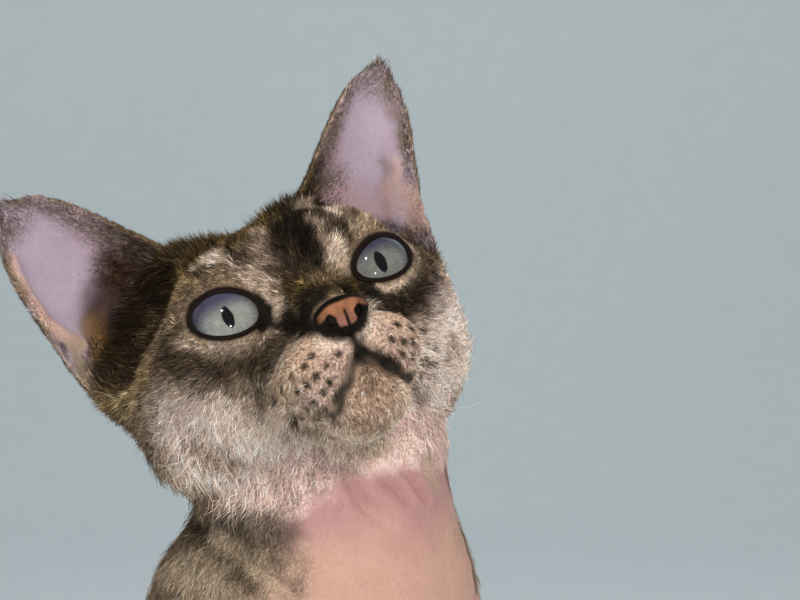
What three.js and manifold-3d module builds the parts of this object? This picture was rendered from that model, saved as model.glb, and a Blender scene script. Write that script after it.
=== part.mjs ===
// A young Devon Rex cat, life size, sitting with its tail round its right side, its head raised and tilted.
// Millimetres. The cat faces -Y, its left side is +X, and +Z is up. The floor is z = 0.
import * as THREE from "three";
import { mergeVertices } from "three/addons/utils/BufferGeometryUtils.js";
import Module from "manifold-3d";

const wasm = await Module();
wasm.setup();

const V = (x, y, z) => new THREE.Vector3(x, y, z);
const degrees = THREE.MathUtils.degToRad;
const mix = THREE.MathUtils.lerp;

// Where one node meets the next
const GAP = 0.3;
const NECK_SEAT = 0.5;

// The head: where the middle of the skull is, and how it is turned
const SKULL_AT = V(-7, -38, 285);
const TURN_TO_RIGHT = 20.5;
const NOSE_UP = 16.9;
const TILT_TO_RIGHT = 20.5;

// The eyes, in the head's own frame
const EYE_RADIUS = 10.6;
const CORNEA_RADIUS = 9.3;
const CORNEA_FORWARD = 2.3;
const EYE_AT = V(17.6, -22.6, 3.6);
const EYE_OUTWARD = 16;
const EYE_UPWARD = 6;
const LID_THICKNESS = 1.4;
const LID_RADII = V(1, 1, 1).multiplyScalar(EYE_RADIUS + LID_THICKNESS);
const LID_OPENING = { width: 18.0, upper: 6.4, lower: 5.7, slant: 13 };

// The ears, in the head's own frame, for the left ear. Each ear has its own outline in the pose: the share
// of its width that goes towards the tip, how early that goes, and how far its middle bows inward.
const EAR = {
  innerRoot: V(17.5, 3, 32),
  outerRoot: V(49, 9, 7),
  tip: V(52.5, 1, 55),
  thickRoot: 3.0,
  thickRim: 2.0,
  cup: 15,
  left: { narrows: 0.63, curve: 0.7, bow: 0.028 },
  right: { narrows: 0.52, curve: 1, bow: 0 },
};

// The hollow in the side of the head that the ear opens into
const EAR_BOWL = { at: V(34.7, 0.8, 18), radii: V(18.5, 13.5, 12) };

const COLOURS = {
  coat: 0x6b5a48,
  paleCoat: 0xb39c86,
  earSkin: 0xb99fae,
  nose: 0xb5714e,
  iris: 0x9aa7b4,
};

const coat = new THREE.MeshStandardMaterial({ color: COLOURS.coat, roughness: 0.9 });
const paleCoat = new THREE.MeshStandardMaterial({ color: COLOURS.paleCoat, roughness: 0.9 });
const earSkin = new THREE.MeshStandardMaterial({ color: COLOURS.earSkin, roughness: 0.6 });
const noseLeather = new THREE.MeshStandardMaterial({ color: COLOURS.nose, roughness: 0.45 });
const eyeball = new THREE.MeshStandardMaterial({ color: COLOURS.iris, roughness: 0.08 });

// Solids and cuts

function solidOf(geometry) {
  const bare = new THREE.BufferGeometry();
  bare.setAttribute("position", geometry.getAttribute("position"));
  bare.setIndex(geometry.getIndex());
  const merged = mergeVertices(bare, 1e-4);
  return new wasm.Manifold(
    new wasm.Mesh({
      numProp: 3,
      vertProperties: new Float32Array(merged.attributes.position.array),
      triVerts: new Uint32Array(merged.index.array),
    }),
  );
}

function geometryOf(solid) {
  const mesh = solid.getMesh();
  const geometry = new THREE.BufferGeometry();
  geometry.setAttribute("position", new THREE.BufferAttribute(mesh.vertProperties, 3));
  geometry.setIndex(new THREE.BufferAttribute(mesh.triVerts, 1));
  geometry.computeVertexNormals();
  return geometry;
}

// The largest closed surface of a solid: loose scraps and sealed hollows go
function largest(solid) {
  const pieces = solid.decompose();
  pieces.sort((a, b) => b.volume() - a.volume());
  return pieces[0];
}

function addNode(parent, name, solid, material) {
  const mesh = new THREE.Mesh(geometryOf(largest(solid)), material);
  mesh.name = name;
  parent.add(mesh);
  return mesh;
}

const onTheFloor = (solid) => solid.trimByPlane([0, 0, 1], 0);

// Smooth shapes, each a function that gives how far a point is outside

const ellipsoid = (at, radii, turn = 0) => {
  const c = Math.cos(degrees(turn));
  const s = Math.sin(degrees(turn));
  return (p) => {
    const dy = p.y - at.y;
    const dz = p.z - at.z;
    const x = (p.x - at.x) / radii.x;
    const y = (c * dy + s * dz) / radii.y;
    const z = (-s * dy + c * dz) / radii.z;
    const near = Math.hypot(x, y, z);
    const slope = Math.hypot(x / radii.x, y / radii.y, z / radii.z);
    return slope > 0 ? (near * (near - 1)) / slope : -Math.min(radii.x, radii.y, radii.z);
  };
};

const taper = (from, fromRadius, to, toRadius) => (p) => {
  const along = to.clone().sub(from);
  const t = THREE.MathUtils.clamp(p.clone().sub(from).dot(along) / along.lengthSq(), 0, 1);
  return p.distanceTo(from.clone().addScaledVector(along, t)) - mix(fromRadius, toRadius, t);
};

// One smooth skin over several shapes; a larger softness gives wider fillets
const blend = (softness, shapes) => (p) => {
  const sum = shapes.reduce((total, shape) => total + Math.exp(-shape(p) / softness), 0);
  return -softness * Math.log(sum);
};

const bothSides = (shape) => (p) => shape(V(Math.abs(p.x), p.y, p.z));

// Distance along a ray from the centre to the outermost skin of a shape
function reach(shape, centre, direction, farthest) {
  const at = (r) => shape(centre.clone().addScaledVector(direction, r));
  const step = farthest / 60;
  let outside = farthest;
  while (outside > step && at(outside - step) > 0) outside -= step;
  let inside = outside - step;
  for (let i = 0; i < 14; i++) {
    const middle = (inside + outside) / 2;
    if (at(middle) > 0) outside = middle;
    else inside = middle;
  }
  return inside;
}

// A sphere pushed out to a shape's skin. Its poles are on Y; crowd packs its rings towards -Y.
function wrapped(shape, { centre, farthest, sides, rings, crowd = 0, grow = 0 }) {
  const ball = new THREE.SphereGeometry(1, sides, rings);
  const position = ball.getAttribute("position");
  for (let i = 0; i < position.count; i++) {
    const direction = V(0, 0, 0).fromBufferAttribute(position, i).normalize();
    const polar = Math.acos(THREE.MathUtils.clamp(-direction.y, -1, 1));
    const moved = polar - crowd * Math.sin(polar);
    const sideways = Math.hypot(direction.x, direction.z);
    if (sideways > 1e-6) {
      const scale = Math.sin(moved) / sideways;
      direction.set(direction.x * scale, -Math.cos(moved), direction.z * scale);
    }
    const length = reach(shape, centre, direction, farthest) + grow;
    position.setXYZ(i, ...centre.clone().addScaledVector(direction, length).toArray());
  }
  return solidOf(ball);
}

// A smooth line through stations [x, y, z, half width, half depth], and its ring at a share t of its length
function ringsOf(stations, across) {
  const line = new THREE.CatmullRomCurve3(stations.map((s) => V(s[0], s[1], s[2])));
  const sizes = new THREE.CatmullRomCurve3(stations.map((s, i) => V(s[3], s[4], i * 10)));
  return (t) => {
    const tangent = line.getTangent(t);
    const deep = tangent.clone().cross(across).normalize();
    const wide = deep.clone().cross(tangent).normalize();
    const size = sizes.getPoint(t);
    return { centre: line.getPoint(t), tangent, wide, deep, halfWidth: size.x, halfDepth: size.y };
  };
}

// A closed body of elliptical rings along such a line. The span is the share of the line that is built.
// Ends inside the line are flat, and the others are rounded unless asked otherwise.
const CAP_RINGS = [0.42, 0.8];
const CAP_BULGE = 0.9;

function loft(stations, options) {
  const { across = V(1, 0, 0), sides = 9, steps = 5, grow = 0, span = [0, 1], rounded = true } = options;
  const ringAt = ringsOf(stations, across);
  const rings = [];
  const addRing = (t, squeeze, shift) => {
    const { centre, tangent, wide, deep, halfWidth, halfDepth } = ringAt(t);
    centre.addScaledVector(tangent, shift * CAP_BULGE * (Math.min(halfWidth, halfDepth) + grow));
    rings.push({
      centre,
      wide: wide.multiplyScalar((halfWidth + grow) * squeeze),
      deep: deep.multiplyScalar((halfDepth + grow) * squeeze),
    });
  };
  const [start, end] = span;
  const bulge = (squeeze) => Math.sqrt(1 - squeeze * squeeze);
  if (rounded && start === 0) CAP_RINGS.forEach((c) => addRing(0, c, -bulge(c)));
  for (let i = 0; i <= steps; i++) addRing(mix(start, end, i / steps), 1, 0);
  if (rounded && end === 1) [...CAP_RINGS].reverse().forEach((c) => addRing(1, c, bulge(c)));

  const points = [];
  for (const ring of rings) {
    for (let k = 0; k < sides; k++) {
      const angle = (2 * Math.PI * k) / sides;
      points.push(...ring.centre.clone().addScaledVector(ring.wide, Math.cos(angle))
        .addScaledVector(ring.deep, Math.sin(angle)).toArray());
    }
  }
  const first = rings.length * sides;
  points.push(...rings[0].centre.toArray(), ...rings.at(-1).centre.toArray());
  const faces = [];
  for (let r = 0; r + 1 < rings.length; r++) {
    for (let k = 0; k < sides; k++) {
      const a = r * sides + k;
      const b = r * sides + ((k + 1) % sides);
      faces.push(a, a + sides, b, b, a + sides, b + sides);
    }
  }
  for (let k = 0; k < sides; k++) {
    const next = (k + 1) % sides;
    const last = (rings.length - 1) * sides;
    faces.push(first, k, next, first + 1, last + next, last + k);
  }
  const geometry = new THREE.BufferGeometry();
  geometry.setAttribute("position", new THREE.BufferAttribute(new Float32Array(points), 3));
  geometry.setIndex(faces);
  const solid = solidOf(geometry);
  return solid.volume() > 0 ? solid : solidOf(turnedOut(geometry));
}

function turnedOut(geometry) {
  const index = geometry.getIndex();
  for (let i = 0; i < index.count; i += 3) {
    const b = index.getX(i + 1);
    index.setX(i + 1, index.getX(i + 2));
    index.setX(i + 2, b);
  }
  return geometry;
}

const ballAt = (at, radius, sides = 14) =>
  solidOf(new THREE.SphereGeometry(radius, sides, Math.round(sides * 0.7)).translate(at.x, at.y, at.z));

// The head

const headShape = blend(2.6, [
  ellipsoid(V(0, 6, 5), V(32, 34, 21)),
  ellipsoid(V(0, -14, 11.5), V(22, 21, 13), -18),
  bothSides(ellipsoid(V(24, -8, -4), V(17, 20, 16))),
  bothSides(ellipsoid(V(28, 2, -13.5), V(16.5, 18, 16))),
  bothSides(ellipsoid(V(17, -6, -20), V(15, 19, 12))),
  bothSides(ellipsoid(V(20, 3, -23), V(16, 15, 13.5))),
  bothSides(ellipsoid(V(16, -20, 15.5), V(9, 8, 6))),
  bothSides(ellipsoid(V(35, 10, 4), V(13, 10, 12))),
  bothSides(ellipsoid(V(26, 8, 15), V(11, 10, 13))),
  bothSides(ellipsoid(V(15, 3, 19), V(12, 10, 12))),
  taper(V(0, -24, 9), 8, V(0, -46, -4.5), 4.6),
  ellipsoid(V(0, -34, -15), V(14, 15, 10)),
  bothSides(ellipsoid(V(9, -41.5, -16), V(9, 9.5, 8))),
  ellipsoid(V(0, -42.5, -27), V(9.5, 8, 6.5)),
  taper(V(0, -40, -26), 7, V(0, -6, -25), 14),
  ellipsoid(V(0, 16, -8), V(26, 20, 20)),
  bothSides(ellipsoid(EYE_AT, LID_RADII)),
]);
const HEAD_WRAP = { centre: V(0, -11, -5), farthest: 66, sides: 42, rings: 24, crowd: 0.36 };

function eyeDirection() {
  const outward = degrees(EYE_OUTWARD);
  const upward = degrees(EYE_UPWARD);
  return V(Math.sin(outward) * Math.cos(upward), -Math.cos(outward) * Math.cos(upward), Math.sin(upward));
}

// The almond between the lids, as a prism that points forward from the eye
function lidOpening() {
  const half = LID_OPENING.width / 2;
  const almond = new THREE.Shape();
  almond.moveTo(-half, 0);
  const { upper, lower } = LID_OPENING;
  almond.bezierCurveTo(-half * 0.5, upper * 1.2, half * 0.55, upper * 1.35, half, 0);
  almond.bezierCurveTo(half * 0.5, -lower * 1.2, -half * 0.6, -lower * 1.3, -half, 0);
  const prism = new THREE.ExtrudeGeometry(almond, { depth: 30, bevelEnabled: false, curveSegments: 7 });
  prism.rotateZ(degrees(LID_OPENING.slant));
  const facing = new THREE.Matrix4().lookAt(eyeDirection(), V(0, 0, 0), V(0, 0, 1));
  prism.applyMatrix4(facing);
  prism.translate(EYE_AT.x, EYE_AT.y, EYE_AT.z);
  return solidOf(prism);
}

const mirrored = (solid) => solid.mirror([1, 0, 0]);

function eyeSolid(grow = 0) {
  const cornea = EYE_AT.clone().addScaledVector(eyeDirection(), CORNEA_FORWARD);
  return ballAt(EYE_AT, EYE_RADIUS + grow).add(ballAt(cornea, CORNEA_RADIUS + grow));
}

// The line of the mouth, from the lip's middle to its left corner, sunk into the skin
const MOUTH_LINE = [
  V(0, -50, -19.5),
  V(4, -49.5, -21),
  V(9, -46, -24.5),
  V(14, -41, -28.5),
  V(17, -36, -31),
];
const PHILTRUM_LINE = [V(0, -49, -9), V(0, -52, -14), V(0, -50, -20)];
const MOUTH_RADIUS = 1.0;

function onTheSkin(point) {
  const direction = point.clone().sub(HEAD_WRAP.centre).normalize();
  const length = reach(headShape, HEAD_WRAP.centre, direction, HEAD_WRAP.farthest);
  return HEAD_WRAP.centre.clone().addScaledVector(direction, length);
}

function tube(points, radius, steps, sides = 6) {
  const section = new THREE.Shape();
  section.absarc(0, 0, radius, 0, 2 * Math.PI);
  const path = new THREE.CatmullRomCurve3(points);
  return solidOf(new THREE.ExtrudeGeometry(section,
    { extrudePath: path, steps, curveSegments: sides, bevelEnabled: false }));
}

function mouthGroove() {
  const left = MOUTH_LINE.map((p) => onTheSkin(p));
  const right = left.slice(1).map((p) => V(-p.x, p.y, p.z)).reverse();
  const across = tube([...right, ...left], MOUTH_RADIUS, 26, 4);
  const philtrum = tube(PHILTRUM_LINE.map((p) => onTheSkin(p)), 0.8, 6, 4);
  return across.add(philtrum);
}

const noseShape = blend(1.0, [
  ellipsoid(V(0, -51.4, -5.2), V(4.2, 2.6, 3.2)),
  bothSides(ellipsoid(V(4.0, -50.6, -6.0), V(3.0, 2.8, 2.7))),
  ellipsoid(V(0, -51.2, -9.0), V(2.0, 2.2, 2.6)),
]);
const NOSE_WRAP = { centre: V(0, -50.4, -6.4), farthest: 12, sides: 16, rings: 11 };

function nostril() {
  const hole = tube([V(3.4, -56, -6.8), V(3.2, -51.5, -7.0), V(2.8, -48.5, -6.4)], 1.35, 3, 4);
  const slit = tube([V(3.4, -54.6, -7.2), V(5.4, -53.2, -8.0), V(7.2, -50.6, -8.4)], 0.55, 4, 3);
  return hole.add(slit);
}

function earBowl(grow = 0) {
  const { at, radii } = EAR_BOWL;
  const ball = new THREE.SphereGeometry(1, 14, 9).scale(radii.x + grow, radii.y + grow, radii.z + grow);
  const along = EAR.outerRoot.clone().sub(EAR.innerRoot).normalize();
  ball.applyQuaternion(new THREE.Quaternion().setFromUnitVectors(V(1, 0, 0), along));
  return solidOf(ball.translate(at.x, at.y, at.z));
}

function buildHead(skull) {
  const neck = neckLoft(NECK_SEAT).transform(skull.matrix.clone().invert().elements);
  const socket = eyeSolid(GAP).add(lidOpening());
  const noseSeat = wrapped(noseShape, { ...NOSE_WRAP, grow: GAP });
  let head = wrapped(headShape, HEAD_WRAP);
  head = head.subtract(socket).subtract(mirrored(socket));
  head = head.subtract(mouthGroove()).subtract(noseSeat).subtract(neck);
  head = head.subtract(earBowl()).subtract(mirrored(earBowl()));
  addNode(skull, "head", head, coat);

  const nose = wrapped(noseShape, NOSE_WRAP).subtract(nostril()).subtract(mirrored(nostril()));
  addNode(skull, "nose", nose, noseLeather);
  addNode(skull, "eye_left", eyeSolid(), eyeball);
  addNode(skull, "eye_right", mirrored(eyeSolid()), eyeball);
}

// The ears: a curved sheet, hollow to the front, whose rim runs from root to root over the tip

function earSolid({ narrows, curve, bow }) {
  const COLUMNS = 8;
  const ROWS = 10;
  const rootMiddle = EAR.innerRoot.clone().add(EAR.outerRoot).multiplyScalar(0.5);
  const upward = EAR.tip.clone().sub(rootMiddle);
  const inward = EAR.innerRoot.clone().sub(EAR.outerRoot);
  const backward = inward.clone().cross(upward).normalize();
  if (backward.y < 0) backward.negate();
  const sheetPoint = (u, t, offset) => {
    const high = Math.max(0, t);
    const roundTip = Math.sqrt(Math.max(0, 1 - Math.pow(high, 6)));
    const spread = (1 - narrows * Math.pow(high, curve)) * roundTip;
    const hollow = EAR.cup * (1 - 0.45 * t) * spread * (1 - u * u);
    const point = rootMiddle.clone().addScaledVector(upward, t);
    point.addScaledVector(inward, (u * spread) / 2 + 4 * bow * t * (1 - t));
    point.addScaledVector(backward, hollow + offset);
    return point;
  };
  const points = [];
  const row = COLUMNS + 1;
  for (const side of [0, 1]) {
    for (let j = 0; j <= ROWS; j++) {
      for (let i = 0; i <= COLUMNS; i++) {
        const u = mix(-1, 1, i / COLUMNS);
        const t = mix(-0.12 - 0.22 * (1 - u * u), 0.985, Math.pow(j / ROWS, 0.9));
        const thick = mix(EAR.thickRoot, EAR.thickRim, THREE.MathUtils.clamp(t, 0, 1));
        points.push(...sheetPoint(u, t, side === 0 ? thick / 2 : -thick / 2).toArray());
      }
    }
  }
  const sheet = row * (ROWS + 1);
  const faces = [];
  const quad = (a, b, c, d) => faces.push(a, b, c, a, c, d);
  for (let j = 0; j < ROWS; j++) {
    for (let i = 0; i < COLUMNS; i++) {
      const a = j * row + i;
      quad(a, a + 1, a + row + 1, a + row);
      const back = sheet + a;
      faces.push(back, back + row + 1, back + 1, back, back + row, back + row + 1);
    }
    const left = j * row;
    const right = j * row + COLUMNS;
    quad(left, left + row, sheet + left + row, sheet + left);
    quad(right, sheet + right, sheet + right + row, right + row);
  }
  for (let i = 0; i < COLUMNS; i++) {
    quad(i, sheet + i, sheet + i + 1, i + 1);
    const top = ROWS * row + i;
    quad(top, top + 1, sheet + top + 1, sheet + top);
  }
  const geometry = new THREE.BufferGeometry();
  geometry.setAttribute("position", new THREE.BufferAttribute(new Float32Array(points), 3));
  geometry.setIndex(faces);
  const solid = solidOf(geometry);
  return solid.volume() > 0 ? solid : solidOf(turnedOut(geometry));
}

function buildEars(skull) {
  const hollows = earBowl(-GAP).add(mirrored(earBowl(-GAP)));
  const seat = wrapped(headShape, { ...HEAD_WRAP, grow: GAP }).subtract(hollows);
  addNode(skull, "ear_left", earSolid(EAR.left).subtract(seat), earSkin);
  addNode(skull, "ear_right", mirrored(earSolid(EAR.right)).subtract(seat), earSkin);
}

// The trunk and neck

const TRUNK = [
  [0, -38, 212, 40, 42],
  [0, -34, 198, 44, 48],
  [0, -18, 174, 46, 54],
  [0, 16, 142, 48, 56],
  [0, 50, 104, 48, 56],
  [0, 75, 66, 49, 51],
  [0, 88, 34, 46, 40],
];
const NECK = [
  [0, -38, 203, 43, 45],
  [0, -41, 217, 42, 45],
  [0, -44, 228, 38.5, 41],
  [0, -45, 238, 33, 36.5],
  [1, -44, 248, 29.5, 33],
  [2, -42.5, 258, 29, 31],
  [3, -41, 268, 27, 28.5],
  [4, -39.5, 277, 19, 20],
];

const UPPER_ARM = [
  [13, 0, 214, 7, 14],
  [26, -12, 202, 13, 24],
  [37, -28, 181, 17, 27],
  [40, -28, 156, 16, 23],
  [38, -16, 130, 13, 17],
];
const FOREARM = [
  [38, -18, 136, 13, 16],
  [36, -30, 108, 12, 13.5],
  [32, -46, 70, 9.5, 10],
  [29.5, -56, 40, 9.5, 9.5],
  [29, -62, 14, 9.5, 9.5],
];
const THIGH = [
  [30, 92, 68, 26, 44],
  [44, 66, 68, 28, 52],
  [52, 34, 70, 23, 45],
  [56, 4, 70, 15, 28],
];
const SHANK = [
  [57, 0, 56, 13, 18],
  [58, 32, 38, 12, 16],
  [58, 64, 20, 10, 11],
  [57, 84, 12, 9, 9],
];
const HIND_FOOT = [
  [57, 90, 9.5, 8, 9.5],
  [58, 54, 9, 9, 9.5],
  [59, 10, 9, 10, 9.5],
  [60, -26, 8.5, 9, 8.5],
];
const TAIL = [
  [0, 104, 30, 14, 14],
  [-10, 134, 17, 12.5, 12.5],
  [-45, 148, 10.2, 10.6, 11.4],
  [-84, 124, 9.4, 9.8, 10.4],
  [-103, 84, 8.6, 9, 9.6],
  [-107, 36, 7.6, 8, 8.6],
  [-101, -8, 6.6, 7, 7.6],
  [-88, -44, 5.5, 5.9, 6.4],
  [-72, -68, 4.3, 4.6, 5.2],
];

// The ends of the tail's lengths, as shares of its line
const TAIL_JOINS = [0.24, 0.5, 0.75, 1];

// Locks of the coat. Each follows the body from a sunk root, waves to one side and tapers to the skin.
// Rise is the height of a lock's middle over the skin, and wave how far it swings to each side, in degrees.
const LOCK = { halfWidth: 8.5, halfDepth: 2.3, rise: 0.6, wave: 3 };
const LOCK_STATIONS = [
  { along: 0, rise: -4, wave: 0, size: 0.8 },
  { along: 0.34, rise: 1, wave: 1, size: 1 },
  { along: 0.7, rise: 1, wave: -1, size: 0.8 },
  { along: 1, rise: -1, wave: 0.6, size: 0.2 },
];

let seed = 7;
function random(low, high) {
  seed = (seed * 16807) % 2147483647;
  return mix(low, high, seed / 2147483647);
}

function lockSolid({ stations, side }, grow = 0) {
  return loft(stations, { across: side, sides: 6, steps: 3, grow, rounded: false });
}

// Locks on a lofted body, in rows along it and columns round it. A lock runs on by lean, as shares of the
// body's line and degrees round it.
function lockPlaces(stations, { across = V(1, 0, 0), from, to, rows, arc, columns, lean }) {
  const ringAt = ringsOf(stations, across);
  const places = [];
  for (let row = 0; row < rows; row++) {
    for (let column = 0; column < columns; column++) {
      const start = mix(from, to, (row + random(0.3, 0.7)) / rows);
      const turn = mix(arc[0], arc[1], (column + (row % 2) / 2 + random(-0.15, 0.15)) / columns);
      const scale = random(0.85, 1.15);
      const swing = random(0, 1) < 0.5 ? -LOCK.wave : LOCK.wave;
      const stations = LOCK_STATIONS.map((s) => {
        const t = THREE.MathUtils.clamp(start + lean[0] * s.along * scale, 0, 1);
        const angle = degrees(turn + lean[1] * s.along * scale + swing * s.wave);
        const { centre, wide, deep, halfWidth, halfDepth } = ringAt(t);
        centre.addScaledVector(wide, (halfWidth + s.rise * LOCK.rise) * Math.cos(angle));
        centre.addScaledVector(deep, (halfDepth + s.rise * LOCK.rise) * Math.sin(angle));
        return [...centre.toArray(), LOCK.halfWidth * s.size * scale, LOCK.halfDepth * s.size];
      });
      const along = V(...stations.at(-1)).sub(V(...stations[0]));
      const outward = V(...stations[0]).sub(ringAt(start).centre);
      places.push({ stations, side: outward.cross(along).normalize() });
    }
  }
  return places;
}

// The body with those locks that stay clear of its neighbours
function withLocks(body, places, neighbours) {
  const clear = places.filter((place) => {
    const roomy = lockSolid(place, GAP);
    return neighbours.every((other) => roomy.intersect(other).isEmpty());
  });
  return clear.reduce((joined, place) => joined.add(lockSolid(place)), body);
}

const mirrorStations = (stations) => stations.map(([x, ...rest]) => [-x, ...rest]);
const sided = (stations, side) => (side > 0 ? stations : mirrorStations(stations));

const TRUNK_LOCKS = { from: 0.03, to: 0.84, rows: 8, arc: [-172, -8], columns: 4, lean: [0.13, 0] };
const ARM_LOCKS = { from: 0.12, to: 0.7, rows: 2, arc: [-80, 40], columns: 2, lean: [0.3, 0] };
const THIGH_LOCKS = { from: 0.2, to: 0.95, rows: 3, arc: [0, 75], columns: 3, lean: [-0.12, -26] };

// The same locks on the other side of the body
const onSide = (locks, side) =>
  side > 0 ? locks : { ...locks, arc: locks.arc.map((a) => 180 - a), lean: [locks.lean[0], -locks.lean[1]] };

const neckLoft = (grow) => loft(NECK, { sides: 18, steps: 9, grow });

// A paw: a pad with four toes, forward of where the leg ends
function pawSolid(heelAt, length, width, grow = 0) {
  const toeLine = heelAt.y - length * 0.72;
  const toes = [-1.5, -0.5, 0.5, 1.5].map((k) => {
    const x = heelAt.x + (k * width) / 4.3;
    const forward = toeLine - (2 - Math.abs(k)) * 2.4;
    return ellipsoid(V(x, forward, 7.4), V(width / 6.2, 7.6, 7.6));
  });
  const shape = blend(1.4, [
    ellipsoid(V(heelAt.x, heelAt.y - length * 0.36, 8.5), V(width * 0.44, length * 0.46, 9.5)),
    ...toes,
  ]);
  const centre = V(heelAt.x, heelAt.y - length * 0.5, 7.5);
  return wrapped(shape, { centre, farthest: 34, sides: 15, rings: 9, grow });
}

const FRONT_PAW = { at: V(29, -54, 0), length: 40, width: 27 };
const HIND_PAW = { at: V(60, -14, 0), length: 36, width: 27 };

function trunkCut(solid, side) {
  const WAIST = { normal: [0, 0.62, -0.785], offset: -88 };
  return side > 0
    ? solid.trimByPlane(WAIST.normal, WAIST.offset + GAP)
    : solid.trimByPlane(WAIST.normal.map((n) => -n), -WAIST.offset);
}

function buildBody(cat) {
  const trunkLoft = (grow) => loft(TRUNK, { sides: 20, steps: 11, grow });
  const lofts = (stations, side, grow, options = {}) => loft(sided(stations, side), { ...options, grow });
  const armSolids = (grow) => [1, -1].map((s) => lofts(UPPER_ARM, s, grow, { sides: 12 }));
  const thighSolids = (grow) => [1, -1].map((s) => lofts(THIGH, s, grow, { sides: 14 }));
  const minus = (solid, others) => others.reduce((left, other) => left.subtract(other), solid);

  const arms = armSolids(0);
  const armsGrown = armSolids(GAP);
  const thighs = thighSolids(0);
  const thighsGrown = thighSolids(GAP);
  const neckGrown = neckLoft(GAP);
  const hindFeetGrown = [1, -1].map((s) => lofts(HIND_FOOT, s, GAP, {}));
  const forearmsGrown = [1, -1].map((s) => lofts(FOREARM, s, GAP, {}));
  const shanksGrown = [1, -1].map((s) => lofts(SHANK, s, GAP, {}));

  // Locks keep clear of the limbs, and those of the limbs keep clear of the trunk
  const bareTrunk = trunkLoft(0);
  const neck = neckLoft(0);
  const besideTrunk = [...arms, ...thighs, neck, ...forearmsGrown];
  const furred = withLocks(bareTrunk, lockPlaces(TRUNK, TRUNK_LOCKS), besideTrunk);
  const limbs = [...armsGrown, ...forearmsGrown, ...thighsGrown, ...hindFeetGrown];
  const trunk = onTheFloor(minus(furred, limbs));
  addNode(cat, "chest", minus(trunkCut(trunk, -1), [neckGrown]), paleCoat);
  addNode(cat, "loin", trunkCut(trunk, 1), coat);
  addNode(cat, "neck", minus(neck, armsGrown), paleCoat);

  [1, -1].forEach((s, i) => {
    const name = s > 0 ? "left" : "right";
    const mirrorAt = (at) => V(at.x * s, at.y, at.z);
    const frontPaw = (grow) => pawSolid(mirrorAt(FRONT_PAW.at), FRONT_PAW.length, FRONT_PAW.width, grow);
    const hindPaw = (grow) => pawSolid(mirrorAt(HIND_PAW.at), HIND_PAW.length, HIND_PAW.width, grow);
    const armLocks = lockPlaces(sided(UPPER_ARM, s), onSide(ARM_LOCKS, s));
    const arm = withLocks(arms[i], armLocks, [furred, neck, forearmsGrown[i]]);
    const thighLocks = lockPlaces(sided(THIGH, s), onSide(THIGH_LOCKS, s));
    const thigh = withLocks(thighs[i], thighLocks, [furred, shanksGrown[i], hindFeetGrown[i]]);
    addNode(cat, `upper_arm_${name}`, arm, coat);
    addNode(cat, `forearm_${name}`, minus(lofts(FOREARM, s, 0), [armsGrown[i], frontPaw(GAP)]), coat);
    addNode(cat, `front_paw_${name}`, onTheFloor(frontPaw(0)), coat);
    addNode(cat, `thigh_${name}`, minus(thigh, [hindFeetGrown[i]]), coat);
    addNode(cat, `shank_${name}`, minus(lofts(SHANK, s, 0), [thighsGrown[i], hindFeetGrown[i]]), coat);
    addNode(cat, `hind_foot_${name}`, onTheFloor(minus(lofts(HIND_FOOT, s, 0), [hindPaw(GAP)])), coat);
    addNode(cat, `hind_paw_${name}`, onTheFloor(hindPaw(0)), coat);
  });

  // The tail, in four lengths that meet face to face
  const rump = trunkLoft(GAP);
  const tailLength = new THREE.CatmullRomCurve3(TAIL.map((t) => V(t[0], t[1], t[2]))).getLength();
  TAIL_JOINS.forEach((end, i) => {
    const start = i === 0 ? 0 : TAIL_JOINS[i - 1] + GAP / tailLength;
    const length = loft(TAIL, { across: V(0, 0, 1), sides: 9, steps: 7, span: [start, end] });
    addNode(cat, `tail_${i + 1}`, onTheFloor(minus(length, [rump, ...hindFeetGrown, ...thighsGrown])), coat);
  });
}

function buildCat() {
  const cat = new THREE.Group();
  const skull = new THREE.Group();
  skull.position.copy(SKULL_AT);
  skull.rotation.set(-degrees(NOSE_UP), -degrees(TILT_TO_RIGHT), -degrees(TURN_TO_RIGHT), "ZXY");
  skull.updateMatrix();
  cat.add(skull);
  buildHead(skull);
  buildEars(skull);
  buildBody(cat);

  // The origin is under the middle of the whole cat
  const box = new THREE.Box3().setFromObject(cat, true);
  const middle = box.getCenter(V(0, 0, 0));
  for (const child of cat.children) child.position.sub(V(middle.x, middle.y, 0));
  return cat;
}

export default buildCat();
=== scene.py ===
import math

import bpy
import bmesh
import numpy as np
from mathutils import Matrix, Vector
from mathutils.bvhtree import BVHTree


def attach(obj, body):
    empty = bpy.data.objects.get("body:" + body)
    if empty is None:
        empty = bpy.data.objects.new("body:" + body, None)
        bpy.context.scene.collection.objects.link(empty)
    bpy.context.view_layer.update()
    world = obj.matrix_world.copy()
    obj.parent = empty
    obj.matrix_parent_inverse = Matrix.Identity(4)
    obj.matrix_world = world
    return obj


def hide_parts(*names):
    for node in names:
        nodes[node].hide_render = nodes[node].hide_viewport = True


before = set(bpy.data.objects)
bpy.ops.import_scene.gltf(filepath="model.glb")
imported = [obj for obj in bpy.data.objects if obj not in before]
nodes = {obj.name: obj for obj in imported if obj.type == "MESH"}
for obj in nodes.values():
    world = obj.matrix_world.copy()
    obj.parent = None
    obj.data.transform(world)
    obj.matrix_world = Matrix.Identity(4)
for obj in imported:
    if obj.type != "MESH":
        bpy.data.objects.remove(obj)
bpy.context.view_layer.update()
print("stage: frame loaded,", len(nodes), "nodes")

perMetre = 1000    # lengths in this script are in millimetres, and Blender's in metres

# where the head is
# The head's own frame: x to the cat's left, -y out of the nose, z out of the crown.

headPose = {
    "turnToRight": 20.5,
    "noseUp": 16.9,
    "tiltToRight": 20.5,
    "eyesMiddle": (0.0, -25.46, 3.71),   # middle of both eyes' corner points, in the head's frame
}


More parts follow.
